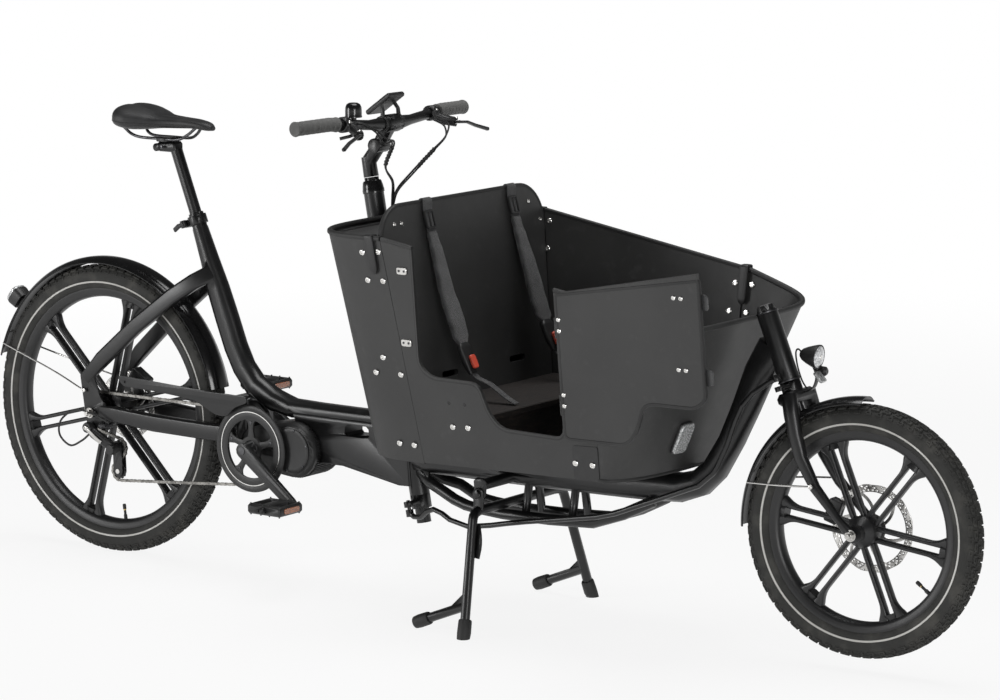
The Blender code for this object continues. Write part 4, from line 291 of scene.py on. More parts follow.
def sleeve_cloth():
    """The padded sleeve's cloth: a small square weave over soft folds."""
    finish = Finish("sleeve_cloth", "webbing", Sheen_Weight=0.3, Sheen_Roughness=0.5)
    across = (finish.along(1) * (2 * PI / 0.0014)).wave()
    down = (finish.along(2) * (2 * PI / 0.0014)).wave()
    weave = across * down + finish.noise(55.0, 4.0) * 3.0
    worn = finish.noise(30.0, 5.0).eased(0.4, 0.75)
    colour = finish.blend(worn, (0.013, 0.013, 0.014), (0.033, 0.033, 0.035))
    return finish.wear(colour, finish.noise(90.0) * 0.15 + 0.70, weave, 0.0006, 0.7)


def dark_wood():
    """The bench: stained board with grain along its length across the box, and open pores."""
    finish = Finish("stained_board", "bench_wood", Coat_Weight=0.12, Coat_Roughness=0.4)
    grain = finish.noise(9.0, 6.0, (14.0, 1.1, 6.0))
    pores = finish.noise(60.0, 3.0, (14.0, 0.8, 6.0))
    lines = (grain * 42.0 + finish.along(0) * 160.0).wave()
    colour = finish.blend(lines.eased(-0.6, 0.9), (0.006, 0.004, 0.003), (0.018, 0.012, 0.009))
    colour = finish.blend(pores.eased(0.58, 0.74), colour, (0.003, 0.002, 0.002))
    return finish.wear(colour, pores * 0.25 + 0.50, pores + lines * 0.2, 0.0004, 0.5)


def hide():
    """Saddle cover: fine pebbled vinyl, glossier where it is sat on."""
    finish = Finish("saddle_cover", "soft_rubber", Specular_IOR_Level=0.45)
    pebble = finish.cells(620.0, "SMOOTH_F1") + finish.noise(1500.0, 2.0) * 0.3
    rub = finish.noise(16.0, 4.0)
    colour = finish.blend(rub.eased(0.4, 0.7), (0.016, 0.016, 0.017), (0.030, 0.030, 0.031))
    return finish.wear(colour, rub * 0.16 + 0.44, pebble, 0.0004, 0.45)


def faceted(name, slot, dark, light, pitch, **constants):
    """A reflector: small prisms under a smooth clear face, each painted with a glint at its middle and shade
    towards its edges; the same cells give its bumps.
    """
    finish = Finish(name, slot, Coat_Weight=1.0, Coat_Roughness=0.06, **constants)
    prism_relief_and_glint = finish.cells(pitch)
    # Painted glint at each prism's middle, painted shade towards its edges.
    colour = finish.blend(prism_relief_and_glint.eased(0.15, 0.75), light, dark)
    return finish.wear(colour, finish.noise(60.0) * 0.15 + 0.16, prism_relief_and_glint, 0.0010, 0.8)


def pavement():
    """The floor: plain and pale; camera and mirror rays see it lifted towards white, shadow and all."""
    finish = Finish("pale_floor", None, Roughness=0.9, Specular_IOR_Level=0.1)
    finish.wear(finish.blend(finish.noise(1.3, 3.0), (0.86, 0.86, 0.86), (0.90, 0.90, 0.90)))
    glow = finish.node("Emission", {}, {"Color": (1.0, 1.0, 1.0), "Strength": 1.0})
    away = finish.node("VectorMath", {"operation": "LENGTH"}, {0: finish.place()}, 1)
    seen = (finish.ray("Camera") + finish.ray("Glossy") + finish.ray("Transmission")).over(0.5)
    share = seen * (away.eased(1.8, 5.0) * 0.12 + 0.88)
    finish.feed(finish.surface, finish.node("MixShader", {}, {0: share, 1: finish.body, 2: glow}))
    return finish


PAINT = coated("satin_black_paint", "frame_paint", (0.0050, 0.0050, 0.0053), (0.0090, 0.0090, 0.0094),
               0.34, 0.12, 900.0, 0.0002, 0.18)
GLOSS = coated("gloss_black_fender", "black_plastic", (0.0060, 0.0060, 0.0062), (0.0095, 0.0095, 0.0098),
               0.17, 0.10, 260.0, 0.0002, 0.10)
ALLOY = coated("cast_black_alloy", "cast_alloy", (0.0110, 0.0110, 0.0115), (0.0190, 0.0190, 0.0195),
               0.40, 0.14, 1300.0, 0.0002, 0.30)
PANEL = coated("moulded_panel", "box_plastic", (0.0270, 0.0270, 0.0268), (0.0350, 0.0350, 0.0345),
               0.52, 0.14, 1500.0, 0.0003, 0.32)
LID = coated("rubber_lid_mat", "box_plastic", (0.0440, 0.0440, 0.0440), (0.0580, 0.0580, 0.0575),
             0.66, 0.16, 700.0, 0.0004, 0.45)
PLASTIC = coated("black_moulding", "black_plastic", (0.0120, 0.0120, 0.0122), (0.0210, 0.0210, 0.0212),
                 0.46, 0.16, 1100.0, 0.0003)
LATCH = coated("smoked_latch", "black_plastic", (0.050, 0.051, 0.052), (0.085, 0.086, 0.087),
               0.28, 0.14, 700.0, 0.0002, 0.3)
TRIM = coated("edge_rubber", "soft_rubber", (0.0120, 0.0120, 0.0120), (0.0230, 0.0230, 0.0230),
              0.60, 0.16, 900.0, 0.0003)
GRIP = coated("grip_rubber", "soft_rubber", (0.1050, 0.1050, 0.1020), (0.1350, 0.1350, 0.1310),
              0.68, 0.16, 1400.0, 0.0003, 0.45)
STEEL = metal("brushed_steel", "steel", (0.50, 0.49, 0.47), (0.68, 0.67, 0.65), 0.30, 0.22)
LINKS = metal("oiled_chain", "steel", (0.17, 0.165, 0.155), (0.36, 0.35, 0.33), 0.34, 0.20)
BRIGHT = metal("stainless", "steel", (0.66, 0.65, 0.63), (0.80, 0.79, 0.77), 0.24, 0.18)
DARK = metal("dark_steel", "dark_steel", (0.055, 0.055, 0.058), (0.12, 0.12, 0.125), 0.38, 0.20)
BRASS = metal("valve_brass", "steel", (0.50, 0.36, 0.14), (0.66, 0.50, 0.22), 0.30, 0.18)
TREAD = tread_rubber()
WEB = woven()
SLEEVE = sleeve_cloth()
WOOD = dark_wood()
HIDE = hide()
STRIPE = coated("reflective_stripe", "tyre_rubber", (0.55, 0.54, 0.51), (0.68, 0.67, 0.64),
                0.40, 0.16, 1500.0, 0.0001)
RED = coated("red_buckle_key", "red_button", (0.62, 0.075, 0.045), (0.72, 0.10, 0.06),
             0.36, 0.12, 900.0, 0.0002, 0.2)
AMBER = faceted("amber_reflector", "black_plastic", (0.30, 0.065, 0.012), (0.62, 0.20, 0.05), 380.0)
CLEAR = faceted("clear_reflector", "steel", (0.36, 0.37, 0.37), (0.80, 0.81, 0.81), 300.0, Metallic=0.35)
LENS = faceted("lamp_lens", "steel", (0.45, 0.46, 0.47), (0.90, 0.91, 0.92), 190.0, Metallic=0.55)
REDLENS = faceted("tail_lens", "lamp_red", (0.060, 0.004, 0.004), (0.20, 0.016, 0.014), 240.0)
SCREEN = coated("screen_glass", "black_plastic", (0.0040, 0.0042, 0.0048), (0.0060, 0.0062, 0.0070),
                0.10, 0.06, 60.0, 0.0001, 0.05, Coat_Weight=1.0, Coat_Roughness=0.03)


# Shapes: grids of points and profiles carried along paths; a shape is its points, its quads and its caps

def mm(values):
    """Millimetres as metres."""
    return np.asarray(values, float) / 1000


def unit(vectors):
    """Vectors of length one, row by row."""
    vectors = np.asarray(vectors, float)
    return vectors / np.maximum(np.linalg.norm(vectors, axis=-1, keepdims=True), 1e-12)


def bent(values, power):
    """Each value's size raised to a power, with its sign kept."""
    return np.sign(values) * np.abs(values) ** power


def circle(angle, radius=1.0, y=0.0):
    """Points round the y axis, counted from x towards z."""
    return np.stack(np.broadcast_arrays(radius * np.cos(angle), y, radius * np.sin(angle)), -1)


def skin(grid, wrap_rows=False, wrap_columns=False, cap_rows=False):
    """Quads between neighbouring points of a grid; cap_rows closes its first and last row flat."""
    rows, columns = grid.shape[:2]
    last = (rows - (not wrap_rows), columns - (not wrap_columns))
    row, column = np.meshgrid(np.arange(last[0]), np.arange(last[1]), indexing="ij")
    after = (row + 1) % rows
    beside = (column + 1) % columns
    quads = np.stack([row * columns + column, after * columns + column,
                      after * columns + beside, row * columns + beside], -1).reshape(-1, 4)
    caps = [np.arange(columns), np.arange(columns) + (rows - 1) * columns] if cap_rows else []
    return grid.reshape(-1, 3), quads, caps


def joined(*shapes):
    """Several shapes as one."""
    starts = np.cumsum([0] + [len(shape[0]) for shape in shapes])
    points = np.concatenate([shape[0] for shape in shapes])
    quads = np.concatenate([shape[1] + start for shape, start in zip(shapes, starts)])
    caps = [cap + start for shape, start in zip(shapes, starts) for cap in shape[2]]
    return points, quads, caps


def placed(shape, matrix):
    """A shape moved by a 4 x 4 matrix."""
    matrix = np.array(matrix)
    return shape[0] @ matrix[:3, :3].T + matrix[:3, 3], shape[1], shape[2]


def copies(shape, moved):
    """The same faces over several sets of moved points, an array of copy, point and coordinate."""
    steps = np.arange(len(moved)) * len(shape[0])
    quads = (shape[1][None] + steps[:, None, None]).reshape(-1, 4)
    return moved.reshape(-1, 3), quads, [cap + step for step in steps for cap in shape[2]]


def spread(shape, places, facings, across=(0.0, 0.0, 1.0)):
    """Copies at places: each shape's z goes along the facing, and its x square to it and to across."""
    places = np.asarray(places, float).reshape(-1, 3)
    z = unit(np.broadcast_to(facings, places.shape))
    x = unit(np.cross(np.broadcast_to(across, places.shape), z))
    axes = np.stack([x, np.cross(z, x), z], 1)
    return copies(shape, places[:, None] + np.einsum("pk,nkc->npc", shape[0], axes))


def around(shape, count, start=0.0):
    """Copies turned about the y axis by equal angles, counted from x towards z."""
    angle = start + np.arange(count) * 2 * PI / count
    cos = np.cos(angle)[:, None]
    sin = np.sin(angle)[:, None]
    x, y, z = shape[0].T
    return copies(shape, np.stack([x * cos - z * sin, y + 0 * cos, x * sin + z * cos], -1))


def turned(profile, steps=96, closed=True, axis="Y", start=0.0, sweep=2 * PI):
    """A profile of (radius, height) carried round an axis; a part turn is closed flat at its ends."""
    profile = np.asarray(profile, float)
    whole = sweep == 2 * PI
    angle = start + np.linspace(0, sweep, steps + (not whole), endpoint=not whole)[:, None]
    grid = circle(angle, profile[None, :, 0], profile[None, :, 1])
    return skin(grid if axis == "Y" else grid[..., [0, 2, 1]], whole, closed, not whole)


def lathe(profile, steps=16):
    """A part turned about z from a profile in millimetres that starts and ends on the axis."""
    return turned(mm(profile), steps, False, "Z")


def oval(count=16, power=2.0):
    """A superellipse of half width 1."""
    angle = np.linspace(0, 2 * PI, count, endpoint=False)
    return np.stack([bent(np.cos(angle), 2 / power), bent(np.sin(angle), 2 / power)], -1)


def eased(points, count):
    """A curve through the points: each stretch is the cubic of the two points at each side."""
    line = np.asarray(points, float)
    line = np.vstack([2 * line[0] - line[1], line, 2 * line[-1] - line[-2]])
    place = np.linspace(0, len(line) - 3, count)
    index = np.minimum(place.astype(int), len(line) - 4)
    part = (place - index)[:, None]
    before, start, end, after = [line[index + step] for step in range(4)]
    bow = (2 * before - 5 * start + 4 * end - after) * part ** 2
    swing = (3 * start - before - 3 * end + after) * part ** 3
    return 0.5 * (2 * start + (end - before) * part + bow + swing)


def rounded(points, reach, steps=6, closed=False):
    """A polyline whose corners are swung round by parabolas that start this far from each corner."""
    line = np.asarray(points, float)
    before = np.roll(line, 1, 0) if closed else line[:-2]
    after = np.roll(line, -1, 0) if closed else line[2:]
    corner = line if closed else line[1:-1]
    room = np.minimum(np.linalg.norm(before - corner, axis=1), np.linalg.norm(after - corner, axis=1)) * 0.49
    step = np.minimum(reach, room)[:, None]
    leave = (corner + unit(before - corner) * step)[:, None]
    land = (corner + unit(after - corner) * step)[:, None]
    part = np.linspace(0, 1, steps)[None, :, None]
    arcs = (1 - part) ** 2 * leave + 2 * part * (1 - part) * corner[:, None] + part ** 2 * land
    arcs = arcs.reshape(-1, line.shape[1])
    return arcs if closed else np.vstack([line[0], arcs, line[-1]])


def square_axes(path, side=None, closed=False):
    """Two axes square to a path, the first nearest to side, which is else the path's flattest direction."""
    tangent = unit(np.roll(path, -1, 0) - np.roll(path, 1, 0) if closed else np.gradient(path, axis=0))
    side = np.linalg.svd(tangent)[2][-1] if side is None else np.asarray(side, float)
    across = unit(side - (tangent @ side)[:, None] * tangent)
    return across, np.cross(tangent, across), side


def carried(path, profile, size=1.0, side=(0, 1, 0), closed=False):
    """A profile carried square along a path, its first axis kept nearest to side."""
    path = np.asarray(path, float)
    across, up, side = square_axes(path, side, closed)
    size = np.asarray(size, float)
    size = np.ones((len(path), 2)) * (size[:, None] if size.ndim == 1 and len(size) == len(path) else size)
    grid = (path[:, None] + across[:, None] * profile[None, :, :1] * size[:, None, :1]
            + up[:, None] * profile[None, :, 1:] * size[:, None, 1:])
    return skin(grid, closed, True, not closed)


def rod(route, count, profile, size, side=(0, 1, 0)):
    """A profile carried along the curve through a route in millimetres."""
    return carried(eased(mm(route), count), profile, mm(size), side)


def slab(outline, thickness, edge=0.0008):
    """A flat plate in x and y with eased edges: the outline drawn in at both faces, and closed flat."""
    outline = np.asarray(outline, float)
    middle = outline.mean(0)
    reach = np.linalg.norm(outline - middle, axis=1, keepdims=True)
    small = middle + (outline - middle) * (1 - edge / reach)
    half = thickness / 2
    rows = [(small, -half), (outline, -half + edge), (outline, half - edge), (small, half)]
    grid = np.stack([np.column_stack([row, np.full(len(row), level)]) for row, level in rows])
    return skin(grid, False, True, True)


def tile(wide, tall, thick, edge, count=16, power=5.0):
    """A slab with a superellipse outline; half width, half height, thickness and edge in millimetres."""
    return slab(oval(count, power) * mm((wide, tall)), thick / 1000, edge / 1000)


def dome(radius, height, steps=12):
    """A button head with a round socket, in millimetres."""
    line = [(0.0, 0.55), (0.42, 0.55), (0.50, 1.0), (0.80, 0.92), (1.0, 0.45), (1.0, 0.0), (0.0, 0.0)]
    return lathe(np.array(line) * (radius, height), steps)


def axis_frame(place, lean, steer):
    """The matrix of a leaning axis, turned about itself by the steering."""
    return Matrix.Translation(place) @ Matrix.Rotation(-lean, 4, "Y") @ Matrix.Rotation(steer, 4, "Z")


COLUMN = axis_frame(COLUMN_TOP, COLUMN_LEAN, STEER)
HEAD = axis_frame(HEAD_CENTRE, HEAD_LEAN, STEER)
FRONT = HEAD @ Matrix.Translation((AXLE_AHEAD, 0, -AXLE_BELOW))
REAR = Matrix.Translation(REAR_AXLE)


def held(name, mesh, body, finish, stands_for):
    """A mesh as a piece on its body, with its finish."""
    mesh.materials.clear()
    mesh.materials.append(finish.material)
    piece = bpy.data.objects.new(name, mesh)
    bpy.context.scene.collection.objects.link(piece)
    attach(piece, body)
    if stands_for:
        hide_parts(*stands_for)
    return piece


def add(name, shape, body, finish, stands_for=(), edge=38.0, sheet=0.0):
    """Make a shape a piece in the row frame, with its faces outwards and its seams closed."""
    points, quads, caps = shape
    mesh = bpy.data.meshes.new(name)
    faces = quads.tolist() + [cap.tolist() for cap in caps]
    mesh.from_pydata((points - np.array((REACH, 0, 0))).tolist(), [], faces)
    solid = bmesh.new()
    solid.from_mesh(mesh)
    bmesh.ops.remove_doubles(solid, verts=solid.verts, dist=0.000002)
    bmesh.ops.recalc_face_normals(solid, faces=solid.faces)
    solid.to_mesh(mesh)
    solid.free()
    mesh.shade_smooth()
    mesh.set_sharp_from_angle(angle=np.radians(edge))
    piece = held(name, mesh, body, finish, stands_for)
    if sheet:
        wall = piece.modifiers.new("wall", "SOLIDIFY")
        wall.thickness = sheet
        wall.offset = 0.0
    return piece


def bolts(name, places, facings, radius, height, body, finish=BRIGHT):
    """A button-head bolt at each place along its facing, its radius and height in millimetres."""
    add(name, spread(dome(radius, height), places, facings, (0.3, 0.2, 0.93)), body, finish)


# Wheels

def tyre_line(radius, bead):
    """Half ellipses across the tyre: a fuller one over the waist for the tread, one below it to the bead."""
    waist = bead + TYRE_WALL
    over = np.linspace(0, PI, 27)
    level = waist + (radius - CROWN_DROP - waist) * np.sin(over) ** CROWN_RISE
    upper = np.stack([level, -TYRE_HALF * bent(np.cos(over), CROWN_SPREAD)], -1)
    under = np.linspace(PI / 2, 0, 8)[:-1]
    bulge = (TYRE_HALF - BEAD_HALF) * np.cos(under)
    lower = np.stack([waist - TYRE_WALL * np.sin(under), -BEAD_HALF - bulge], -1)
    return np.vstack([lower, upper, (lower * (1, -1))[::-1]])


def tyre(label, radius, bead, pitch, matrix):
    """The carcass, tapered knobs in staggered rows that end at the tyre's radius, and a light ring each side.

    A knob stands along the normal of the tread's half ellipse, at the height that its distance out gives."""
    waist = bead + TYRE_WALL
    rise = radius - CROWN_DROP - waist
    knobs = []
    rows = [((6.0, 16.5, 9.2, 3.7), 0.25), ((15.8, 19.0, 8.2, 3.4), 0.0), ((23.6, 15.0, 7.4, 2.2), 0.5)]
    for sizes, stagger in rows:
        out, length, width, height = mm(sizes)
        lift = np.sin(np.arccos((out / TYRE_HALF) ** (1 / CROWN_SPREAD)))
        level = waist + rise * lift ** CROWN_RISE
        normal = unit([(level - waist) / rise ** 2 + 0.1, out / TYRE_HALF ** 2, 0.0])
        steps = [(0.50, -0.002), (0.46, height - 0.0005), (0.42, height), (0.22, height),
                 (0.18, height - 0.0014)]
        corners = np.array([(-1, -1), (1, -1), (1, 1), (-1, 1)]) * (length, width)
        levels = np.stack([np.column_stack([corners * part, np.full(4, high)]) for part, high in steps])
        block = skin(levels, False, True, True)
        for side in (1, -1):
            radial = circle((np.arange(pitch) + stagger * side) * 2 * PI / pitch)
            places = radial * level + np.array((0, out * side, 0))
            facing = radial * normal[0] + np.array((0, normal[1] * side, 0))
            knobs.append(spread(block, places, facing, (0, 1, 0)))
    body = label + "_wheel"
    whole = joined(turned(tyre_line(radius, bead), 144), *knobs)
    add(label + "_tyre_tread", placed(whole, matrix), body, TREAD, [label + "_tyre"], 30)
    level = bead + mm((13.9, 17.7))
    face = BEAD_HALF + (TYRE_HALF - BEAD_HALF) * np.sqrt(1 - ((waist - level) / TYRE_WALL) ** 2)
    loop = np.column_stack([level[[0, 0, 1, 1]], face[[0, 0, 1, 1]] + mm((-1, 0.4, 0.4, -1))])
    stripe = joined(*[turned(loop * (1, side), 144) for side in (1, -1)])
    add(label + "_tyre_stripe", placed(stripe, matrix), body, STRIPE)


def wheel(label, bead, turn, hub, matrix, valve):
    """A cast wheel: rim ring, six double-bar spokes, a turned hub, and the valve with its cap.

    A bar grows wider, and the two bars part, with the square of how far it is into its last 40 mm."""
    line = mm([(-0.2, 17.8), (1.2, 18.4), (-3, 18.8), (-6.2, 17.6), (-9.5, 17.2), (-15, 15), (-18.8, 10),
               (-20.4, 0)])
    line = line + (bead, 0)
    ring = turned(np.vstack([line, (line[:-1] * (1, -1))[::-1]]), 144)
    inner = bead - 0.0200
    reach = np.linspace(0.030, inner + 0.008, 26)
    near_rim = np.clip((reach - inner + 0.040) / 0.040, 0, 1) ** 2
    near_hub = np.clip((0.062 - reach) / 0.030, 0, 1) ** 2
    size = np.stack([0.0048 + 0.0085 * near_rim, 0.0105 - 0.002 * near_hub], -1)
    bars = []
    for side in (1, -1):
        path = np.stack([reach, 0 * reach, side * (0.0118 + 0.0075 * near_rim)], -1)
        bars.append(carried(path, oval(14, 3.2), size, (0, 0, 1)))
    web = carried([(inner - 0.010, 0, 0), (inner + 0.006, 0, 0)], oval(14, 3.0), (0.0150, 0.0092), (0, 0, 1))
    spokes = around(joined(*bars, web), 6, turn)
    body = label + "_wheel"
    whole = joined(ring, spokes, turned(mm(hub), 48))
    add(label + "_rim_cast", placed(whole, matrix), body, ALLOY, [label + "_rim"], 42)
    parts = (("stem", [(0, 0), (4.2, 0), (4.2, 10), (3, 12), (3, 22), (0, 22)], TRIM),
             ("cap", [(0, 24), (4, 24), (4.2, 33), (3.4, 36), (0, 36)], TRIM),
             ("collar", [(0, 21.5), (3.4, 21.5), (3.4, 24.5), (0, 24.5)], BRASS))
    radial = circle(valve)
    for name, profile, finish in parts:
        shape = spread(lathe(profile, 12), radial * (inner + 0.001), -radial, (0, 1, 0))
        add(label + "_valve_" + name, placed(shape, matrix), body, finish)


def rotor(label, radius, y, matrix):
    """A brake rotor: a track with rows of holes and a rim waved by a sine, on six leaning arms."""
    rows = mm((-16, -13.8, -11, -9, -6.2, -4, -1.6, 0)) + radius
    columns = 144
    angle = np.linspace(0, 2 * PI, columns, endpoint=False)
    reach = rows[:, None] - 0.0009 * (1 + np.sin(angle * 12))[None] * (rows > radius - 0.002)[:, None]
    points, quads, caps = skin(circle(angle, reach, y), False, True)
    keep = np.ones((len(rows) - 1, columns), bool)
    for row, every, first in ((1, 6, 0), (3, 6, 2), (5, 6, 4), (1, 6, 3), (4, 12, 7)):
        keep[row, np.arange(columns) % every == first] = False
    track = (points, quads[keep.reshape(-1)], caps)
    body = label + "_wheel"
    add(label + "_rotor_track", placed(track, matrix), body, STEEL, [label + "_rotor"], sheet=0.0018)
    sweep = np.linspace(0, 1, 10)
    path = circle(0.55 * sweep ** 1.3, 0.020 + (radius - 0.034) * sweep, y)
    arm = carried(path, oval(8, 6.0), (0.0035, 0.0008), (-0.3, 0, 1))
    carrier = turned(mm([(18.5, -0.9), (18.5, 0.9), (30, 0.9), (30, -0.9)]) + (0, y), 48)
    add(label + "_rotor_arms", placed(joined(around(arm, 6), carrier), matrix), body, STEEL)
    places = circle(np.arange(6) * PI / 3 + 0.4, 0.0225, y - 0.0008)
    add(label + "_rotor_bolts", placed(spread(dome(3.4, 2.2, 10), places, (0, 1, 0)), matrix), body, DARK)


def wheels():
    """Both wheels with their tyres, rotors, valves and axle nuts."""
    rear_hub = [(6.6, 62.5), (19.6, 62.5), (20, 60), (20, 53.5), (18, 53), (18, 51), (24, 50.6), (30, 36),
                (36, 22), (38.5, 14), (38.5, -14), (36, -18), (20, -30), (16, -32.5), (16, -63), (6.6, -63)]
    front_hub = [(6.6, 46.8), (19.6, 46.8), (19.6, 39.3), (18, 39), (18, 37), (22, 36.6), (29, 22),
                 (32.5, 13), (32.5, -13), (29, -18), (17.5, -30), (17, -46.8), (6.6, -46.8)]
    tyre("rear", REAR_RADIUS, REAR_BEAD, 84, REAR)
    tyre("front", FRONT_RADIUS, FRONT_BEAD, 64, FRONT)
    wheel("rear", REAR_BEAD, np.radians(14.7), rear_hub, REAR, np.radians(-83))
    wheel("front", FRONT_BEAD, np.radians(-7.5) - HEAD_LEAN, front_hub, FRONT, np.radians(-37) - HEAD_LEAN)
    rotor("rear", 0.080, 0.0520, REAR)
    rotor("front", 0.090, 0.0380, FRONT)
    nut = tile(9.8, 9.8, 8.5, 0.6, 6, 2.0)
    washer = lathe([(0, 0), (12, 0), (12, 1.6), (0, 1.6)], 24)
    tip = lathe([(0, 3), (5.6, 3), (5.6, 9), (4.5, 10.5), (0, 10.5)])
    ends = (("rear", 0.080, REAR, "frame"), ("front", 0.062, FRONT, "front_fork"))
    for label, half, matrix, body in ends:
        for side, name in ((-1, "right"), (1, "left")):
            way = (0, side, 0)
            foot = (0, side * (half + 0.0045), 0)
            disc = spread(washer, (0, side * half, 0), way)
            whole = joined(spread(nut, foot, way), disc, spread(tip, foot, way))
            add(label + "_axle_nut_" + name, placed(whole, matrix), body, STEEL)


wheels()


# Drive

def belt_line():
    """The chain's path in x and z round sprocket, chainring and pulleys: common tangents and arcs."""
    rounds = [(*REAR_AXLE[::2], COG_PITCH, 1), (*CRANK[::2], RING_PITCH, 1), (*LOWER_PULLEY, PULLEY_PITCH, 1),
              (*UPPER_PULLEY, PULLEY_PITCH, -1)]
    runs = []
    for index, (x, z, radius, sense) in enumerate(rounds):
        next_x, next_z, next_radius, next_sense = rounds[(index + 1) % 4]
        across, up = next_x - x, next_z - z
        lean = np.arcsin((sense * radius - next_sense * next_radius) / np.hypot(across, up))
        runs.append(np.arctan2(up, across) - lean)
    line = []
    for index, (x, z, radius, sense) in enumerate(rounds):
        swept = (runs[index] - runs[index - 1]) % (2 * PI) - (2 * PI if sense > 0 else 0)
        left = runs[index - 1] + swept * np.linspace(0, 1, 40) + PI / 2
        line.append(np.stack([x + sense * radius * np.cos(left), z + sense * radius * np.sin(left)], -1))
    return np.vstack(line)


def chain():
    """Roller chain: waisted plates, inner and outer by turns, and a roller at each pin.

    A plate is an ellipse whose height dips by a bell curve at its middle; the chain line slants from the
    sprocket's y to the chainring's."""
    line = belt_line()
    line = np.vstack([line, line[:1]])
    length = np.r_[0, np.cumsum(np.linalg.norm(np.diff(line, axis=0), axis=1))]
    count = int(round(length[-1] / LINK / 2)) * 2
    at = np.arange(count + 1) * length[-1] / count
    x, z = [np.interp(at, length, line[:, axis]) for axis in (0, 1)]
    pins = np.stack([x, COG_Y + (RING_Y - COG_Y) / CRANK[0] * x, z], -1)
    middle = (pins[1:] + pins[:-1]) / 2
    up = np.cross(unit(pins[1:] - pins[:-1]), (0, 1, 0))
    angle = np.linspace(0, 2 * PI, 12, endpoint=False)
    long = 0.0100 * np.cos(angle)
    tall = np.sin(angle) * (0.0040 - 0.0014 * np.exp(-(long / 0.0035) ** 2))
    plate = slab(np.stack([long, tall], -1), 0.0010, 0.0002)
    parts = []
    for parity, half in ((0, 0.0030), (1, 0.0019)):
        some = slice(parity, None, 2)
        for side in (-1, 1):
            parts.append(spread(plate, middle[some] + np.array((0, side * half, 0)), (0, 1, 0), up[some]))
    parts.append(spread(lathe([(0, -3.6), (2.3, -3.6), (2.3, 3.6), (0, 3.6)], 8), pins[:-1], (0, 1, 0)))
    add("chain_links", joined(*parts), "frame", LINKS, ["chain"])


def toothed(inner, tip, teeth, depth, low, high):
    """A ring whose rim rises and falls once for each tooth by a clipped cosine, with thinned tooth tips."""
    angle = np.linspace(0, 2 * PI, teeth * 6, endpoint=False)
    rise = np.clip(0.5 + 0.9 * np.cos(angle * teeth), 0, 1)
    rim = tip - depth * (1 - rise)
    thin = (high - low) / 2 * (1 - 0.5 * rise)
    middle = (high + low) / 2
    rows = [(inner, low), (rim - depth, low), (rim, middle - thin), (rim, middle + thin), (rim - depth, high),
            (inner, high)]
    return skin(np.stack([circle(angle, reach, y) for reach, y in rows]), True, True)


def sprockets_and_pulleys():
    """Five toothed rings on a core, and two small toothed pulleys."""
    rings = []
    for tip, y, teeth in ((48, 6.6, 22), (40.5, 0, 20), (33, -6.4, 17), (26.5, -10.8, 14), (21.5, -15, 12)):
        middle = COG_Y + y / 1000
        rings.append(toothed(0.0164, tip / 1000, teeth, 0.0030, middle - 0.0011, middle + 0.0011))
    core = turned(mm([(16.6, 7.5), (20, 7.5), (20, -16.5), (16.6, -16.5)]) + (0, COG_Y), 32)
    add("sprocket_stack", placed(joined(*rings, core), REAR), "sprockets", DARK, ["cassette"])
    pulley = toothed(0.0034, 0.0186, 11, 0.0026, -0.0022, 0.0022)
    for name, (x, z) in (("upper", UPPER_PULLEY), ("lower", LOWER_PULLEY)):
        place = Matrix.Translation((x, PULLEY_Y, z))
        add("pulley_" + name, placed(pulley, place), name + "_pulley", PLASTIC, ["jockey_" + name])


def chainring():
    """Teeth, a dished guard with a bright line, and five arms that narrow by a sine and flare outwards."""
    at = Matrix.Translation(CRANK)
    add("chainring_teeth", placed(toothed(0.0700, 0.0792, 41, 0.0026, -0.0614, -0.0590), at), "cranks", STEEL)
    profile = [(84.5, -67.6), (96.5, -67.6), (98, -68.6), (98, -70), (96.5, -71.2), (87, -71.6),
               (85.5, -70.6), (84, -70.6), (82, -70.6), (80, -71.4), (70, -71.2), (66, -70), (66, -67.6)]
    guard = turned(mm(profile), 120)
    out = np.linspace(0.018, 0.070, 14)
    flare = 0.010 * np.clip((out - 0.056) / 0.014, 0, 1) ** 2
    wide = 0.0125 - 0.0055 * np.sin((out - 0.018) / 0.052 * PI) + flare
    path = np.stack([out, np.full(14, -0.0655), 0 * out], -1)
    arm = carried(path, oval(12, 4.0), np.stack([wide, np.full(14, 0.0032)], -1), (0, 0, 1))
    boss = turned(mm([(19.6, -63), (28, -63), (28, -69), (19.6, -69)]), 40)
    spider = joined(guard, around(arm, 5, PI / 2), boss)
    add("chainring_guard", placed(spider, at), "cranks", PLASTIC, ["chainring"])
    line = turned(mm([(82.2, -70), (83.8, -70), (84, -71.3), (82, -71.3)]), 120)
    add("chainring_bright_line", placed(line, at), "cranks", BRIGHT)
    places = circle(PI / 2 + np.arange(5) * 2 * PI / 5, 0.0585, -0.0684) + CRANK
    bolts("chainring_bolts", places, (0, -1, 0), 4.2, 1.8, "cranks", DARK)


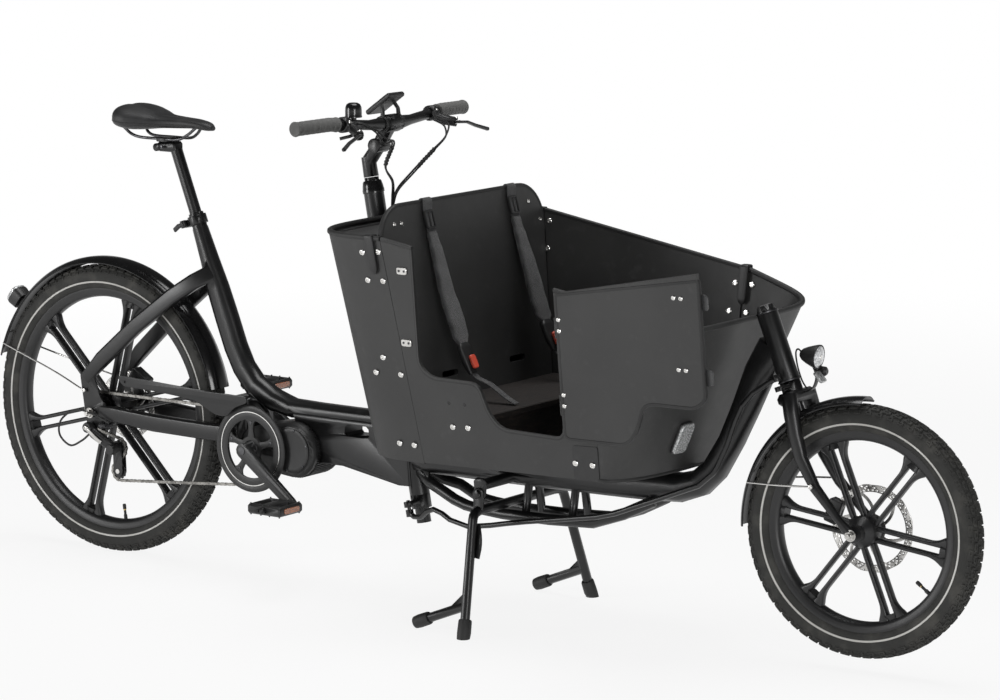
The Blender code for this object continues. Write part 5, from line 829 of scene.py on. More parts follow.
def pedals():
    """The crank arms' caps, and each pedal's reflectors, studs and end cap."""
    cap = lathe([(0, 0.4), (8.5, 0.4), (9, -1), (9, -4), (0, -4)], 24)
    plate = tile(26, 6.2, 3, 0.6, 12, 6.0)
    stud = lathe([(0, 0), (1.8, 0), (1.6, 2.6), (0, 2.6)], 8)
    end = lathe([(0, 0), (6.2, 0), (5.8, 2.4), (0, 2.8)])
    for side, label, sign in ((-1, "right", 1), (1, "left", -1)):
        body = label + "_pedal"
        way = (0, side, 0)
        place = np.array(CRANK) + (0, side * (CRANK_OUT + 0.013), 0)
        add("crank_cap_" + label, spread(cap, place, way), "cranks", DARK)
        centre = CRANK + sign * circle(CRANK_TURN, CRANK_LENGTH) + (0, side * (CRANK_OUT + 0.062), 0)
        glass = joined(*[spread(plate, centre + (ahead * 0.0472, 0, 0), (ahead, 0, 0)) for ahead in (-1, 1)])
        add("pedal_reflectors_" + label, glass, body, AMBER)
        pins = []
        for face in (1, -1):
            spots = mm([(x, y, face * 10.8) for y in (-34, 34) for x in (-40, -12, 12, 40)])
            pins.append(spread(stud, centre + spots, (0, 0, face), (0, 1, 0)))
        add("pedal_studs_" + label, joined(*pins), body, DARK)
        add("pedal_cap_" + label, spread(end, centre + (0, side * 0.0408, 0), way), body, BRIGHT)


def motor():
    """Cooling fins round the motor's front and foot, and its side cover with six bolts."""
    angle = np.linspace(-2.3, 0.9, 34)
    fins = spread(tile(0.9, 40, 5.2, 0.4, 8), circle(angle, 0.0612) + MOTOR, circle(angle), (0, 1, 0))
    profile = mm([(0, -56.2), (46, -56.2), (50, -57.2), (50, -59), (47, -60.4), (42, -59.6), (0, -59)])
    cover = turned(profile, 64, False)
    add("motor_cover", joined(placed(cover, Matrix.Translation(MOTOR)), fins), "frame", PLASTIC)
    places = circle(np.arange(6) * PI / 3 + 0.3, 0.0465, -0.0600) + MOTOR
    bolts("motor_bolts", places, (0, -1, 0), 3.0, 1.8, "frame", DARK)


def derailleur():
    """The derailleur's bright link plate, screws, spring barrels and bolt, and the gear cable's loop."""
    link = eased(mm([(-6, -96.5, 308), (12, -97.5, 296), (36, -90, 274), (52, -80, 264)]), 20)[5:15]
    bright = carried(link, oval(12, 4.0), (0.0046, 0.0022), (0.55, 0, 0.83))
    add("derailleur_link_plate", bright, "frame", STEEL)
    places = [(x, PULLEY_Y - 0.0074, z) for x, z in (UPPER_PULLEY, LOWER_PULLEY)]
    screws = spread(lathe([(0, 0), (6, 0), (5.6, 2.2), (0, 2.6)]), places, (0, -1, 0))
    add("derailleur_screws", screws, "frame", BRIGHT)
    barrel = lathe([(0, 0), (11.8, 0), (12.6, 2), (12.6, 10), (11, 14), (0, 14.5)], 28)
    places = [(-0.002, -0.0780, 0.3010), (UPPER_PULLEY[0], -0.0660, UPPER_PULLEY[1])]
    add("derailleur_barrels", spread(barrel, places, (0, -1, 0)), "frame", PLASTIC)
    bolts("derailleur_bolt", (-0.002, -0.0925, 0.3010), (0, -1, 0), 6.2, 3.0, "frame")
    loop = [(60, -83, 318), (10, -88, 336), (-34, -92, 340), (-76, -94, 313), (-82, -94, 278),
            (-50, -94, 256), (-16, -92, 270), (6, -90, 287)]
    add("gear_cable_loop", rod(loop, 48, oval(10), 2.4), "frame", TRIM)


chain()
sprockets_and_pulleys()
chainring()
pedals()
motor()
derailleur()


# Fenders and lamps

def fender(name, centre, radius, start, sweep, matrix, body, stay):
    """An arch carried round the wheel, its fall growing by a power towards the lips, and two wires."""
    across = np.linspace(-1, 1, 21)
    fall = 0.0128 * np.abs(across) ** 2.6
    outer = np.stack([radius - fall, across * FENDER_HALF], -1)
    inner = np.stack([radius - fall - 0.0022, across * (FENDER_HALF - 0.0014)], -1)
    loops = [np.vstack([outer, inner[::-1]])]
    loops += [oval(8) * 0.0016 + (radius - 0.0128, side * (FENDER_HALF - 0.0004)) for side in (-1, 1)]
    skirt = joined(*[turned(loop, 72, True, "Y", start, sweep) for loop in loops])
    add(name + "_skirt", placed(placed(skirt, Matrix.Translation(centre)), matrix), body, GLOSS, [name])
    wires = joined(*[rod(np.array(stay) * (1, side, 1), 24, oval(8), 2.1) for side in (-1, 1)])
    add(name + "_wires", placed(wires, matrix), body, BRIGHT)


def fenders():
    """Rear and front fender, their stays' bolts, and the lug that holds the front one."""
    sides = [(0, -1, 0), (0, 1, 0)]
    fender("rear_fender", FENDER_CENTRE, 0.3445, np.radians(12), np.radians(152.5), Matrix.Identity(4),
           "frame", [(-18, 75.7, 385), (-36, 75, 390), (-130, 55, 415), (-313, 30.5, 462)])
    bolts("rear_wire_bolts", mm([(-18, side * 77.2, 385) for side in (-1, 1)]), sides, 5.0, 3.4, "frame")
    fender("front_fender", (0, 0, 0), 0.2720, np.radians(90) - HEAD_LEAN, np.radians(93), FRONT, "front_fork",
           [(-202, 30.5, 166), (-120, 60, 140), (-48, 66.5, 116.3)])
    heads = spread(dome(5.6, 4.0), mm([(-47, side * 68, 116.3) for side in (-1, 1)]), sides)
    add("front_wire_bolts", placed(heads, FRONT), "front_fork", BRIGHT)
    upright = [(0.004 - AXLE_AHEAD, 0, height) for height in (0.264, 0.285)]
    lug = carried(upright, oval(16), 0.0080, (1, 0, 0))
    add("front_fender_lug", placed(lug, FRONT), "front_fork", PAINT)


def headlamp():
    """The lamp's bowl, lens and diode along its beam, its arm, the reflector below, a switch and a wire."""
    beam = unit((2, 0, -1))
    root = (0.0430, 0, -0.0290)
    bowl = lathe([(0, 0), (7, 1), (12, 6), (17, 16), (21.5, 28), (24.5, 37), (25, 41.5), (23.8, 42.2),
                  (22.5, 40), (0, 30)], 48)
    lens = lathe([(0, 46.2), (8, 46), (16, 44.7), (21.8, 42), (22.8, 39.5), (0, 37)], 48)
    glow = lathe([(0, 46.8), (5, 46.6), (5.8, 45.2), (0, 44.5)], 20)
    arm = [(26.3, 0, -104), (40, 0, -104), (52, 0, -98), (63, 0, -80), (62, 0, -50)]
    facing = (np.cos(-0.38), 0, np.sin(0.38))
    switch = lathe([(0, 0), (8.5, 0), (9.8, 3), (9.8, 14), (6, 18), (0, 18)], 24)
    wire = [(44, 8, -30), (36, 10, -18), (28, 10, -24), (23.5, 8, -50), (24, 6, -80), (30, 4, -100)]
    parts = (("shell", spread(bowl, root, beam, (0, 1, 0)), PLASTIC, ["headlamp"]),
             ("lens", spread(lens, root, beam, (0, 1, 0)), LENS, []),
             ("diode", spread(glow, root, beam, (0, 1, 0)), BRIGHT, []),
             ("arm", rod(arm, 30, oval(10, 4.0), (6.5, 1.9)), PAINT, []),
             ("reflector", spread(tile(12.5, 13.5, 6, 1, 20, 6.0), (0.0680, 0, -0.0860), facing), CLEAR, []),
             ("switch", spread(switch, (0.0600, 0.0210, -0.0720), beam, (0, 1, 0)), PLASTIC, []),
             ("wire", rod(wire, 40, oval(8), 1.8), TRIM, []))
    for name, shape, finish, stands_for in parts:
        add("headlamp_" + name, placed(shape, HEAD), "front_fork", finish, stands_for)


def tail_lamp():
    """A squarish cup on the rear fender's end, and its red dome with a clear band."""
    place = np.array(FENDER_CENTRE) + circle(np.radians(141.5), 0.3448)
    rise = place + mm([(0, 0, 0), (-3, 0, 2), (-4, 0, 3), (-18, 0, 14), (-22.5, 0, 17.5), (-24, 0, 18.7)])
    size = mm([(9, 10), (10, 12), (20, 21.5), (22.5, 23.5), (22.2, 23.2), (20.5, 21.5)])
    cap = rise[3:] + (-0.0050, 0, 0.0039)
    add("tail_lamp_cup", carried(rise, oval(28, 3.4), size), "frame", PLASTIC, ["tail_lamp"])
    add("tail_lamp_lens", carried(cap, oval(28, 3.4), size[3:] * 0.90), "frame", REDLENS)
    add("tail_lamp_band", carried(cap + (0.0008, 0, -0.0006), oval(28, 3.4), size[3:] * 0.96), "frame", CLEAR)


fenders()
headlamp()
tail_lamp()


# Box

def half_width(z):
    """The sides lean out evenly with height."""
    return SIDE_FOOT + SIDE_LEAN * (np.asarray(z, float) - FOOT_Z)


def foot_height(x):
    return 0.3645 + (x - 1.080) * 0.0233


def rim_height(x):
    return RIM_REAR + (RIM_FRONT - RIM_REAR) * (x - REAR_JOINT) / (FRONT_JOINT - REAR_JOINT)


def rear_ring(z, inset, count=72):
    """A blunt superellipse in plan, from the right joint round the back to the left one."""
    angle = np.linspace(0, PI, count)
    up = (z - FOOT_Z) / (RIM_REAR - FOOT_Z)
    start = 1.085 + (REAR_JOINT - 1.085) * up
    depth = start - (0.900 + (0.808 - 0.900) * up) - inset
    x = start - depth * np.sin(angle) ** (2 / 3.8)
    return np.stack([x, (half_width(z) - inset) * bent(np.cos(angle), 2 / 3.8), z + 0 * x], -1)


def front_ring(part, inset, count=72):
    """The nose in plan at a part of its height: rounder at the foot, squarer at its sloping rim."""
    angle = np.linspace(0, PI, count)
    power = 2.3 + 3.7 * part
    start = NOSE_FOOT + (FRONT_JOINT - NOSE_FOOT) * part
    end = 1.598 + 0.126 * part
    ahead = np.sin(angle) ** (2 / power)
    foot = foot_height(NOSE_FOOT)
    z = foot + (RIM_FRONT + (NOSE_RIM - RIM_FRONT) * ahead - foot) * part
    y = (half_width(z) - inset) * bent(np.cos(angle), 2 / power)
    return np.stack([start + (end - start - inset) * ahead, y, z], -1)


def doorway():
    """The doorway's edge in x and z, from the rim at the rear, down, forward and up again."""
    corners = [(DOOR_REAR, rim_height(DOOR_REAR)), (1.0920, 0.5740), (1.1200, 0.5525), (1.2400, 0.5515),
               (1.2620, 0.4900), (1.2900, 0.4600), (DOOR_FRONT, 0.4570), (DOOR_FRONT, rim_height(DOOR_FRONT))]
    return rounded(corners, 0.022, 7)


def on_side(flat, out=0.0, side=-1):
    """Points of x and z laid on a side's outer face, moved out by so much."""
    flat = np.asarray(flat, float).reshape(-1, 2)
    return np.stack([flat[:, 0], side * (half_width(flat[:, 1]) + out), flat[:, 1]], -1)


def shells():
    """The box's moulded ends, with thickness, and the rubber lip along their rims."""
    levels = np.linspace(foot_height(1.0), RIM_REAR, 9)
    loop = [rear_ring(z, 0.0) for z in levels] + [rear_ring(z, SHELL) for z in levels[::-1]]
    wall = skin(np.stack(loop, 1), False, True, True)
    wall = placed(wall, Matrix.Translation((-0.0008, 0, 0)))
    add("rear_shell_wall", wall, "frame", PANEL, ["box_rear_shell"])
    parts = np.linspace(0, 1, 11)
    loop = [front_ring(part, 0.0) for part in parts] + [front_ring(part, SHELL) for part in parts[::-1]]
    add("nose_shell_wall", skin(np.stack(loop, 1), False, True, True), "frame", PANEL, ["box_front_shell"])
    rims = []
    for ring in (rear_ring(RIM_REAR, 0.002), front_ring(1.0, 0.002)):
        rims.append(carried(ring + (0, 0, 0.0008), oval(12, 2.6), (0.0056, 0.0060), (0, 0, 1)))
    add("shell_rim_lips", joined(*rims), "frame", TRIM)
    low = carried(front_ring(0.0, 0.001) + (0, 0, 0.002), oval(10, 2.6), (0.0042, 0.0040), (0, 0, 1))
    add("nose_foot_lip", low, "frame", TRIM)


def board_rubber():
    """Rubber beads along the side boards' rims, outside the doorway's edge, and inside it round the door."""
    way = doorway()
    ahead = unit(np.gradient(way, axis=0))
    inward = np.stack([-ahead[:, 1], ahead[:, 0]], -1)
    rubber = oval(12, 3.0)
    edges = [carried(on_side(way - inward * BEAD, -BOARD / 2), rubber, (0.0041, BEAD))]
    for side, start, end in ((-1, 1.017, DOOR_REAR), (-1, DOOR_FRONT, 1.539), (1, 1.017, 1.539)):
        x = np.linspace(start, end, 10)
        line = on_side(np.stack([x, rim_height(x)], -1), -BOARD / 2, side)
        edges.append(carried(line, rubber, (0.0052, 0.0046)))
    add("board_edge_rubber", joined(*edges), "frame", TRIM)
    axis = Vector((0, -SIDE_LEAN, 1)).normalized()
    pivot = Vector((HINGE_X, -float(half_width(HINGE_Z)) - HINGE_OUT, HINGE_Z))
    swing = Matrix.Translation(pivot) @ Matrix.Rotation(PI, 4, axis) @ Matrix.Translation(-pivot)
    leaf = (way + inward * 0.0066)[1:-1]
    top = [(x, rim_height(x) - 0.0045) for x in (leaf[-1][0], leaf[0][0])]
    closed = rounded(np.vstack([leaf, top]), 0.004, 3, True)
    rim = carried(on_side(closed, -BOARD / 2), rubber, (0.0050, 0.0040), closed=True)
    add("door_edge_rubber", placed(rim, swing), "side_door", TRIM)


def clips_and_plates():
    """Clips folded over the rim joints, narrower at their foot, and a flat plate over each front joint."""
    strip = rounded(mm([(-74, 3), (-66, 5.5), (6.5, 5.5), (6.5, -13.5), (-66, -13.5), (-74, -11)]), 0.004, 5)
    rise, out = strip.T
    wide = np.interp(rise, mm((-74, -68, -60)), mm((4.5, 8.5, 10.4)))
    clips = []
    plates = []
    outline = rounded([(1.468, 0.373), (1.530, 0.376), (1.530, 0.447), (1.468, 0.444)], 0.006, 5, True)
    for side in (-1, 1):
        for x, lean, rim in ((0.9900, -0.10, RIM_REAR), (1.5420, 0.02, RIM_FRONT)):
            y = side * (half_width(rim) + out + SIDE_LEAN * rise)
            path = np.stack([x + lean * rise, y, rim + rise], -1)
            clips.append(carried(path, oval(12, 3.5), np.stack([wide, 0.0020 + 0 * wide], -1), (1, 0, 0)))
        grid = np.stack([on_side(outline, stand, side) for stand in (-0.001, 0.0016)])
        plates.append(skin(grid, False, True, True))
    add("rim_clips", joined(*clips), "frame", PLASTIC)
    add("joint_plates", joined(*plates), "frame", PLASTIC)


def side_bolts():
    """Stainless bolts through the boards, shells, door and backrest, where the photograph shows them."""
    near = mm([(967, 804), (1009, 808), (976, 746), (1016, 747), (999, 583), (977, 549), (1043, 550),
               (1025, 401), (1064, 401), (1168, 451), (1207, 453), (1474, 408), (1516, 408)])
    out = np.array([0, -1, -SIDE_LEAN])
    places = on_side(near)
    places[:, 1] -= np.where(near[:, 0] < 1.03, -0.0006, 0.0002) + np.where(near[:, 1] < 0.41, 0.0014, 0.0)
    bolts("near_side_bolts", places, out, 6.8, 3.0, "frame")
    # Two flat gloss-black discs on the near board stand for holes: painted shade where the holes look dark.
    bolts("near_side_hole_shade_discs", on_side([(1.162, 0.501), (1.202, 0.501)]), out, 4.0, 0.3, "frame", GLOSS)
    bolts("left_side_bolts", places[:9] * (1, -1, 1), out * (1, -1, 1), 6.8, 3.0, "frame")
    far = mm([(1520, 716), (1560, 715), (1509, 656), (1550, 655.5), (1032, 812), (1032, 752)])
    inner = on_side(far, -BOARD - 0.0002, 1)
    inner[[1, 3], 1] += 0.0028
    bolts("far_inside_bolts", inner, (0, -1, SIDE_LEAN), 6.4, 2.6, "frame")
    door = [(1750, 776), (1767, 776), (1752, 632), (1769, 632)]
    door += [(1470, z + step) for z in (696, 541) for step in (-11.5, 11.5)]
    bolts("door_bolts", on_side(mm(door), 2 * HINGE_OUT + BOARD + 0.0002), out, 5.0, 2.2, "side_door")
    rivets = [(BACKREST_X, y, BACKREST_Z) for y in (-0.240, -0.216, 0.236)]
    rivets.append((BACKREST_X + 0.0063, 0.272, 0.8167))
    bolts("backrest_rivets", np.array(rivets) + (0.0002, 0, 0), (1, 0, BACKREST_LEAN), 5.0, 2.0, "frame")
    strikers = mm([(1068, 772), (1065, 619.5)])
    plates = spread(tile(13, 7.5, 3, 0.6), on_side(strikers, 0.0014), out)
    add("door_strikers", plates, "frame", STEEL)
    heads = mm([(1061.5, 772), (1074.5, 772), (1058.5, 619.5), (1071.5, 619.5)])
    bolts("striker_bolts", on_side(heads, 0.0030), out, 2.6, 1.2, "frame", DARK)


def nose_reflector():
    """A clear reflector in a thin frame, set on the nose's right front along its normal."""
    ring = front_ring(0.25, 0.0, 361)
    spot, beside = [ring[np.argmin(np.abs(ring[:, 1] - y))] for y in (-0.0943, -0.0700)]
    normal = unit(np.cross(beside - spot, (0.20, 0, 0.48)))
    normal = normal if normal[0] > 0 else -normal
    glass = spread(tile(34.5, 22.5, 12, 2.2, 24), spot + normal * 0.0036, normal, (0, 1, 0))
    add("nose_reflector", glass, "frame", CLEAR)
    rim = spread(tile(36.2, 24.2, 6, 1.2, 24), spot + normal * 0.0016, normal, (0, 1, 0))
    add("nose_reflector_frame", rim, "frame", PLASTIC)


def lid_and_arch():
    """The rolled edge of the rear lid, and the rubber round the backrest's arch with its round corners."""
    ring = rear_ring(RIM_REAR - 0.011, SHELL + 0.006)
    keep = ring[ring[:, 0] < 0.998]
    add("lid_edge", carried(keep + (0, 0, 0.0012), oval(10, 2.4), (0.0040, 0.0026), (0, 0, 1)), "frame", LID)
    half = 0.2850
    corner = 0.075
    angle = np.linspace(0, PI / 2, 12)
    turn = corner * np.stack([-np.cos(angle), np.sin(angle)], -1) + (corner - half, BACKREST_TOP - corner)
    y, z = np.vstack([[(-half, 0.790)], turn, (turn * (-1, 1))[::-1], [(half, 0.790)]]).T
    path = np.stack([BACKREST_X - 0.005 + (BACKREST_Z - z) * BACKREST_LEAN, y, z], -1)
    add("backrest_edge_rubber", carried(path, oval(12, 3.0), (0.0062, 0.0042), (1, 0, 0.15)), "frame", TRIM)


shells()
board_rubber()
clips_and_plates()
side_bolts()
nose_reflector()
lid_and_arch()


# Harness

def harness(label, y, top_y, low, middle):
    """One side's harness: webbing, a slide, a padded sleeve, the buckle and the strap down to the bench.

    The sleeve's section is a superellipse that swells by a sine along it, with two slow waves."""
    ribbon = oval(20, 8.0)
    face = BACKREST_X + (BACKREST_Z - BACKREST_TOP) * BACKREST_LEAN
    over = [(-0.0115, top_y, 0.862), (-0.0125, top_y, 0.885), (-0.006, top_y, 0.9008), (0.003, top_y, 0.899),
            (0.0085, y, 0.880), (0.013, y, 0.860), (0.024, y, 0.820)]
    over = carried(eased(over, 40) + (face, 0, 0), ribbon, (0.0150, 0.0011))
    down = [(1.112, y, low), (1.133, y, low - 0.045), (1.175, y, 0.523), (1.218, y, 0.499), (1.242, y, 0.4885)]
    down = carried(eased(down, 30), ribbon, (0.0092, 0.0012))
    add("harness_strap_" + label, joined(over, down), "frame", WEB, ["harness_" + label])
    path = eased([(1.0235, y, 0.8330), (1.0400, y, 0.7850), (middle[0], y, middle[1]), (1.0850, y, 0.6550),
                  (1.1040, y, low + 0.016)], 60)
    along = np.linspace(0, 1, 60)
    wide = np.interp(along, (0, 0.04, 0.25, 0.7, 0.93, 1), mm((13.5, 15, 19, 27.2, 25, 15)))
    wide = wide + 0.0007 * np.sin(along * 43)
    thick = 0.0062 * (0.55 + 0.45 * bent(np.sin(along * PI), 0.35)) + 0.0006 * np.sin(along * 31 + 1.0)
    angle = np.linspace(0, 2 * PI, 28, endpoint=False)
    section = np.stack([bent(np.cos(angle), 0.45), bent(np.sin(angle), 0.8)], -1)
    sleeve = carried(path, section, np.stack([wide, thick], -1))
    pad = add("harness_sleeve_" + label, sleeve, "frame", SLEEVE)
    ring = rounded(mm([(-13.5, -18), (-13.5, 18), (13.5, 18), (13.5, -18)]), 0.004, 4, True)
    loop = carried(np.column_stack([ring, 0 * ring[:, 0]]), oval(8, 3.0), (0.0032, 0.0030), (0, 0, 1), True)
    bar = carried(mm([(0, -17.5, 0), (0, 17.5, 0)]), oval(8), 0.0026, (0, 0, 1))
    slide = spread(joined(loop, bar), (face + 0.0145, y, BACKREST_Z), (1.0, 0, 0.30))
    add("harness_slide_" + label, slide, "frame", PLASTIC)
    path = [(1.1015, y, low + 0.020), (1.110, y, low), (1.1215, y, low - 0.025), (1.131, y, low - 0.044)]
    along = np.linspace(0, 1, 20)
    halves = ((12, 18.5, 17, 12), (5, 7.8, 8.2, 4.8))
    size = np.stack([np.interp(along, (0, 0.15, 0.6, 1), mm(half)) for half in halves], -1)
    add("harness_buckle_" + label, carried(eased(path, 20), oval(18, 4.5), size), "frame", PLASTIC)
    facing = circle(np.radians(25))
    place = np.array((1.1225, y, low - 0.022)) + facing * 0.0108
    key = spread(tile(8.5, 15, 7, 1.4), place, facing)
    add("buckle_key_" + label, key, label + "_button", RED, ["buckle_button_" + label])


harness("right", -0.130, -0.1236, 0.5850, (1.0614, 0.7127))
harness("left", 0.170, 0.1768, 0.5950, (1.0604, 0.7304))


# Saddle, grips, display, cables and the stand's rubber

def saddle():
    """A fuller top and a flatter belly than an ellipse, carried along the saddle, with a shallow groove.

    The top rises by a power of the sine and the belly falls by a weaker one; the groove is a bell curve
    across and along. Piping follows the widest line, and the rails and their clamp hang below."""
    x, half, z, thick = eased(mm(SADDLE), 64).T
    angle = np.linspace(0, 2 * PI, 48, endpoint=False)
    sin = np.sin(angle)
    y = half[:, None] * bent(np.cos(angle), 0.80)[None]
    lift = np.where(sin > 0, np.abs(sin) ** 0.72, -0.78 * np.abs(sin) ** 0.9)
    dip = 0.0032 * np.exp(-((x[:, None] - 0.14) / 0.075) ** 2)
    groove = dip * np.exp(-(y / 0.010) ** 2) * (sin > 0)[None]
    height = z[:, None] + thick[:, None] * lift[None] - groove
    grid = np.stack([x[:, None] + 0 * y, y, height], -1)
    cover = add("saddle_cover", skin(grid, False, True, True), "seat", HIDE, ["saddle"], 60)
    piping = []
    for side in (-1, 1):
        edge = np.stack([x, side * (half * 0.99), z - thick * 0.10], -1)[2:-1]
        piping.append(carried(edge, oval(8), 0.0011, (0, 0, 1)))
    add("saddle_seam", joined(*piping), "seat", TRIM)
    rail = np.array([(85, 36, 992), (100, 28, 977), (125, 23.5, 970.3), (180, 22, 970), (230, 21.8, 970.6),
                     (255, 17, 981), (275, 10, 998)])
    rails = [rod(rail * (1, side, 1), 40, oval(12), 3.5) for side in (-1, 1)]
    add("saddle_rails", joined(*rails), "seat", DARK)
    yoke = placed(tile(17, 28, 9, 1.2, 20), Matrix.Translation((0.185, 0, 0.9680)))
    add("saddle_clamp", yoke, "seat", ALLOY)
    bolts("saddle_clamp_bolt", (0.1855, -0.0245, 0.9520), (0, -1, 0), 4.5, 3.0, "seat", DARK)


def bar_line(y):
    """The bar's centre in the column's frame: level, then swept a little back and up to its ends."""
    y = np.asarray(y, float)
    out = np.maximum(0.0, np.abs(y) - 0.060)
    return np.stack([BAR_X - 0.020 * (out / 0.27) ** 2, y, BAR_Z + 0.014 * np.minimum(1.0, out / 0.16)], -1)


def grips():
    """Grips whose grooves, one every 16.5 mm, are a high power of a cosine; flanged ends; lever screws."""
    screw = dome(4.2, 2.2)
    for side, label in ((-1, "right"), (1, "left")):
        y = np.linspace(0.1975, 0.3310, 120)
        ribs = 0.0150 - 0.0016 * np.abs(np.cos(PI * (y - 0.20) / 0.0165)) ** 14
        flange = 0.0026 * np.exp(-((y - 0.1995) / 0.0018) ** 2)
        end = 0.0012 * np.exp(-((y - 0.3285) / 0.0022) ** 2)
        grip = carried(bar_line(side * y), oval(28), ribs + flange + end, (0, 0, 1))
        add("grip_ribbed_" + label, placed(grip, COLUMN), "steering", GRIP, ["grip_" + label])
        spot = bar_line([side * 0.172])[0]
        clamp = spread(screw, spot + (0.0165, 0, 0.0030), (1, 0, 0.1), (0, 1, 0))
        add("clamp_screw_" + label, placed(clamp, COLUMN), "steering", BRIGHT)
        pivot = spread(screw, spot + (0.050, side * 0.020, -0.0185), (0, 0, 1), (0, 1, 0))
        add("pivot_screw_" + label, placed(pivot, COLUMN), "steering", BRIGHT)


def cockpit():
    """Screen, stem bolts, column cup, bell, the head tube's rings and cap, and the shifter's cover."""
    tilt = np.radians(36) - COLUMN_LEAN
    up = np.array((-np.sin(tilt), 0, np.cos(tilt)))
    place = np.array((BAR_X - 0.005, 0, BAR_Z + 0.044)) + up * 0.0056
    glass = spread(tile(33.5, 27.5, 1, 0.3, 24, 8.0), place, up, (0, 1, 0))
    add("display_glass", placed(glass, COLUMN), "screen", SCREEN)
    faces = bar_line([0.0])[0] + mm([(20, y, z) for y in (-15.5, 15.5) for z in (-10, 10)])
    add("stem_bolts", placed(spread(dome(3.6, 2.0), faces, (1, 0, 0), (0, 1, 0)), COLUMN), "steering", DARK)
    cup = mm([(16, -4), (23.8, -4), (24, 3), (23.2, 5), (22.6, 11), (20.5, 20), (18.6, 23), (16, 23.2)])
    cup = turned(cup, 56, True, "Z")
    add("column_cup", placed(cup, COLUMN), "steering", GLOSS)
    bell = lathe([(0, 1093.5), (9, 1093), (14.5, 1090), (17.2, 1084), (17.8, 1076), (17.8, 1066),
                  (18.4, 1064.5), (18.4, 1062), (8, 1061.5), (6.5, 1060), (6.2, 1042), (9.8, 1040),
                  (9.8, 1034), (0, 1034)], 40)
    add("bell_dome", placed(bell, Matrix.Translation((0.8174, -0.1278, 0.0))), "steering", GLOSS, ["bell"])
    ring = mm([(17.5, 0), (23.4, 0), (23.8, 1.6), (23.4, 3.2), (17.5, 3.2)])
    rings = [turned(ring + (0, height), 48, True, "Z") for height in (0.0704, -0.0736)]
    add("head_rings", placed(joined(*rings), HEAD), "front_fork", DARK)
    cap = lathe([(0, 88), (11, 87.8), (16.5, 86.2), (16.8, 84.5), (0, 84.5)], 32)
    add("head_cap", placed(cap, HEAD), "front_fork", GLOSS)
    dial = lathe([(0, 0), (20, 0), (20.5, 3), (17, 8), (0, 8.5)], 32)
    dial = spread(dial, bar_line([-0.148])[0] + (0.012, 0, -0.0090), (0.2, 0, 1), (0, 1, 0))
    add("shifter_cover", placed(dial, COLUMN), "steering", PLASTIC)


def loom(label, route, wrap, stands_for):
    """Two hoses that wind about each other and part in a bell curve, and between the wrap's ends a spiral
    binding: a round tube whose radius steps along a helix of 7.8 mm pitch."""
    path = eased(mm(route), 260)
    step = np.r_[0, np.cumsum(np.linalg.norm(np.diff(path, axis=0), axis=1))]
    part = step / step[-1]
    across, up, side = square_axes(path)
    lay = part[:, None] * 5.0
    apart = 0.0022 + 0.0030 * np.exp(-((part[:, None] - 0.30) / 0.10) ** 2)
    strands = []
    for phase in (0.0, PI):
        line = path + across * np.cos(lay + phase) * apart + up * np.sin(lay + phase) * apart
        strands.append(carried(line, oval(10), 0.0021, side))
    angle = np.linspace(0, 2 * PI, 16, endpoint=False)
    some = (part > wrap[0]) & (part < wrap[1])
    wind = np.sin(angle[None] - (2 * PI * step[some] / 0.0078)[:, None])
    radius = 0.0044 + 0.0006 * np.clip(wind * 4, -1, 1)
    grid = (path[some, None] + across[some, None] * (radius * np.cos(angle))[..., None]
            + up[some, None] * (radius * np.sin(angle))[..., None])
    whole = joined(*strands, skin(grid, False, True, True))
    piece = add("cable_loom_" + label, whole, "steering", TRIM, stands_for, 60)
    row = path - (REACH, 0, 0)
    row[::4].tolist() + [row[-1].tolist()]


def stand_rubber():
    """Rubber boots on the stand's four feet, kept above the floor, and the kick tab."""
    legs = [((1179, 236, 0), (1152, 160, 220), (-40, -37, -12, 4), (12.8, 14.2, 14.8, 14), (1, 0, 0)),
            ((1042, 218, 13.5), (1172, 215, 66), (-38, -35, -10, 1), (12.6, 14, 14.4, 13.2), (0, 1, 0))]
    boots = []
    for side in (-1, 1):
        for foot, knee, steps, radii, across in legs:
            foot = mm(foot) * (1, side, 1)
            down = unit(foot - mm(knee) * (1, side, 1))
            boots.append(carried(foot + down * mm(steps)[:, None], oval(20), mm(radii), across))
    points, quads, caps = joined(*boots)
    points[:, 2] = np.maximum(points[:, 2], 0.0002)
    add("stand_boots", (points, quads, caps), "stand", TRIM)
    tab = [(1160, -160, 226), (1168, -166, 205), (1172, -172, 185), (1170, -178, 160)]
    add("stand_tab", rod(tab, 16, oval(10, 4.0), (2.0, 8.5)), "stand", PAINT)


saddle()
grips()
cockpit()
loom("left", [(813.4, 160.6, 1048.3), (822, 149, 1046.2), (850, 122, 1038), (885, 110, 1028), (908, 75, 1008),
              (884.1, 60, 977.2), (841, 45, 929.2), (815, 26, 892.2), (811.7, 14, 862), (811.7, 12, 843)],
     (0.50, 0.66), ["control_cables"])
loom("right", [(839, -146.3, 1052.9), (847, -133, 1050), (856, -100, 1032), (857, -70, 1008),
               (839.6, -20, 998.7), (810.4, -10, 946.2), (821, 0, 913.5), (814, 10, 880), (811.7, 12, 856)],
     (0.52, 0.68), [])
stand_rubber()


# Finishes of the solids: those shown through a smoothed copy, then the others

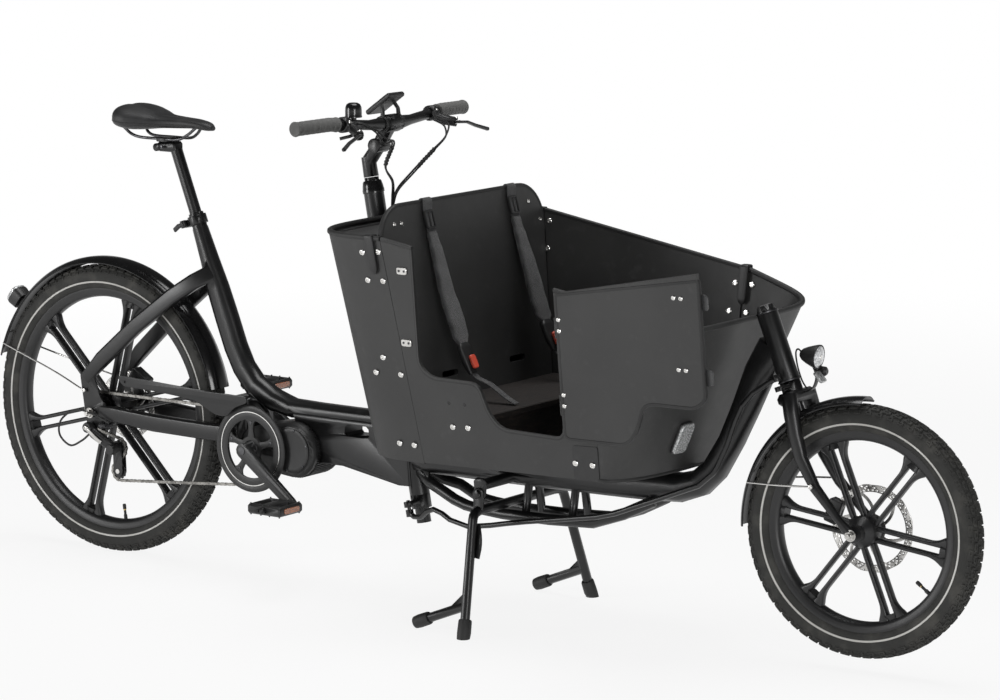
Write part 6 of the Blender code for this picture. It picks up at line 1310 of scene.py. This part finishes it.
SMOOTHED = {
    PAINT: ["rear_frame", "cargo_frame", "fork", "steering_column", "stem", "handlebar", "seatpost",
            "tie_rod", "chain_guard", "center_stand", "seat_clamp"],
    ALLOY: ["crank", "rear_caliper", "front_caliper", "derailleur", "brake_mount_left", "brake_mount_right",
            "brake_lever_left", "brake_lever_right", "seat_lever"],
    PLASTIC: ["motor_housing", "display", "shift_lever", "pedal_left", "pedal_right"],
}
PLAIN = {
    PANEL: ["box_side_left", "box_side_right", "box_floor", "backrest", "door", "box_rear_shell",
            "box_front_shell"],
    LID: ["box_lid"],
    LATCH: ["latch_upper", "latch_lower"],
    GLOSS: ["bell", "rear_fender", "front_fender"],
    ALLOY: ["rear_rim", "front_rim"],
    PLASTIC: ["headlamp", "jockey_upper", "jockey_lower"],
    TREAD: ["rear_tyre", "front_tyre"],
    TRIM: ["grip_left", "grip_right", "control_cables", "saddle"],
    STEEL: ["rear_rotor", "front_rotor", "chain"],
    DARK: ["cassette", "chainring"],
    WOOD: ["bench"],
    WEB: ["harness_left", "harness_right"],
    RED: ["buckle_button_left", "buckle_button_right"],
    REDLENS: ["tail_lamp"],
}


def smoothed(name, finish):
    """A merged copy of a solid, shaded as the round surface that its facets stand for."""
    node = frame["nodes"][name]
    solid = bmesh.new()
    solid.from_mesh(node.data)
    bmesh.ops.remove_doubles(solid, verts=solid.verts, dist=0.00002)
    mesh = bpy.data.meshes.new(name + "_surface")
    solid.to_mesh(mesh)
    solid.free()
    mesh.shade_smooth()
    mesh.set_sharp_from_angle(angle=np.radians(50.0))
    body = [key for key, empty in frame["bodies"].items() if node.parent == empty][0]
    piece = held(name + "_surface", mesh, body, finish, [name])
    even = piece.modifiers.new("even_normals", "WEIGHTED_NORMAL")
    even.keep_sharp = True


for table in (SMOOTHED, PLAIN):
    for finish, names in table.items():
        for name in names:
            frame["nodes"][name].data.materials.clear()
            frame["nodes"][name].data.materials.append(finish.material)
for finish, names in SMOOTHED.items():
    for name in names:
        smoothed(name, finish)


# Floor and light

def sky():
    """White to the camera; to mirrors a bright band at the horizon under a dark sky; dim to all else."""
    world = bpy.data.worlds.new("studio")
    bpy.context.scene.world = world
    world.use_nodes = True
    graph = Graph(world.node_tree)
    height = graph.node("SeparateXYZ", {}, {0: graph.node("TexCoord", output="Generated")}, 2)
    band = graph.node("MapRange", {"interpolation_type": "SMOOTHSTEP"},
                      {"Value": height, "From Min": 0.02, "From Max": 0.34, "To Min": 0.62, "To Max": 0.06})
    mirror = graph.ray("Glossy").maths("MAXIMUM", graph.ray("Transmission"))
    strength = graph.node("Mix", {}, {0: mirror, 2: 0.07, 3: band})
    white = (1.0, 1.0, 1.0)
    around_it = graph.node("Background", {}, {"Color": white, "Strength": strength})
    behind_it = graph.node("Background", {}, {"Color": white, "Strength": 1.0})
    mix = graph.node("MixShader", {}, {0: graph.ray("Camera"), 1: around_it, 2: behind_it})
    graph.node("OutputWorld", {}, {"Surface": mix})


def studio():
    """A pale floor that runs on to the horizon, and three broad soft lamps."""
    reach = np.array([-40.0, 40.0])
    grid = np.stack(np.broadcast_arrays(reach[:, None], reach[None], 0.0), -1)
    points, quads, caps = skin(grid)
    mesh = bpy.data.meshes.new("floor")
    mesh.from_pydata(points.tolist(), caps, quads.tolist())
    floor = bpy.data.objects.new("floor", mesh)
    bpy.context.scene.collection.objects.link(floor)
    mesh.materials.append(pavement().material)
    lamps = [("top_lamp", (0.2, 0.4, 5.0), 150.0, 3.0), ("left_lamp", (-3.4, -4.6, 1.5), 110.0, 1.8),
             ("right_lamp", (4.8, -3.6, 1.4), 100.0, 1.8)]
    for name, place, power, size in lamps:
        data = bpy.data.lights.new(name, "AREA")
        data.energy = power
        data.size = size
        lamp = bpy.data.objects.new(name, data)
        bpy.context.scene.collection.objects.link(lamp)
        aim = Vector((0.0, 0.0, 0.5)) - Vector(place)
        lamp.matrix_world = Matrix.Translation(place) @ aim.to_track_quat("-Z", "Y").to_matrix().to_4x4()
    bpy.context.scene.view_settings.view_transform = "Standard"


studio()
sky()
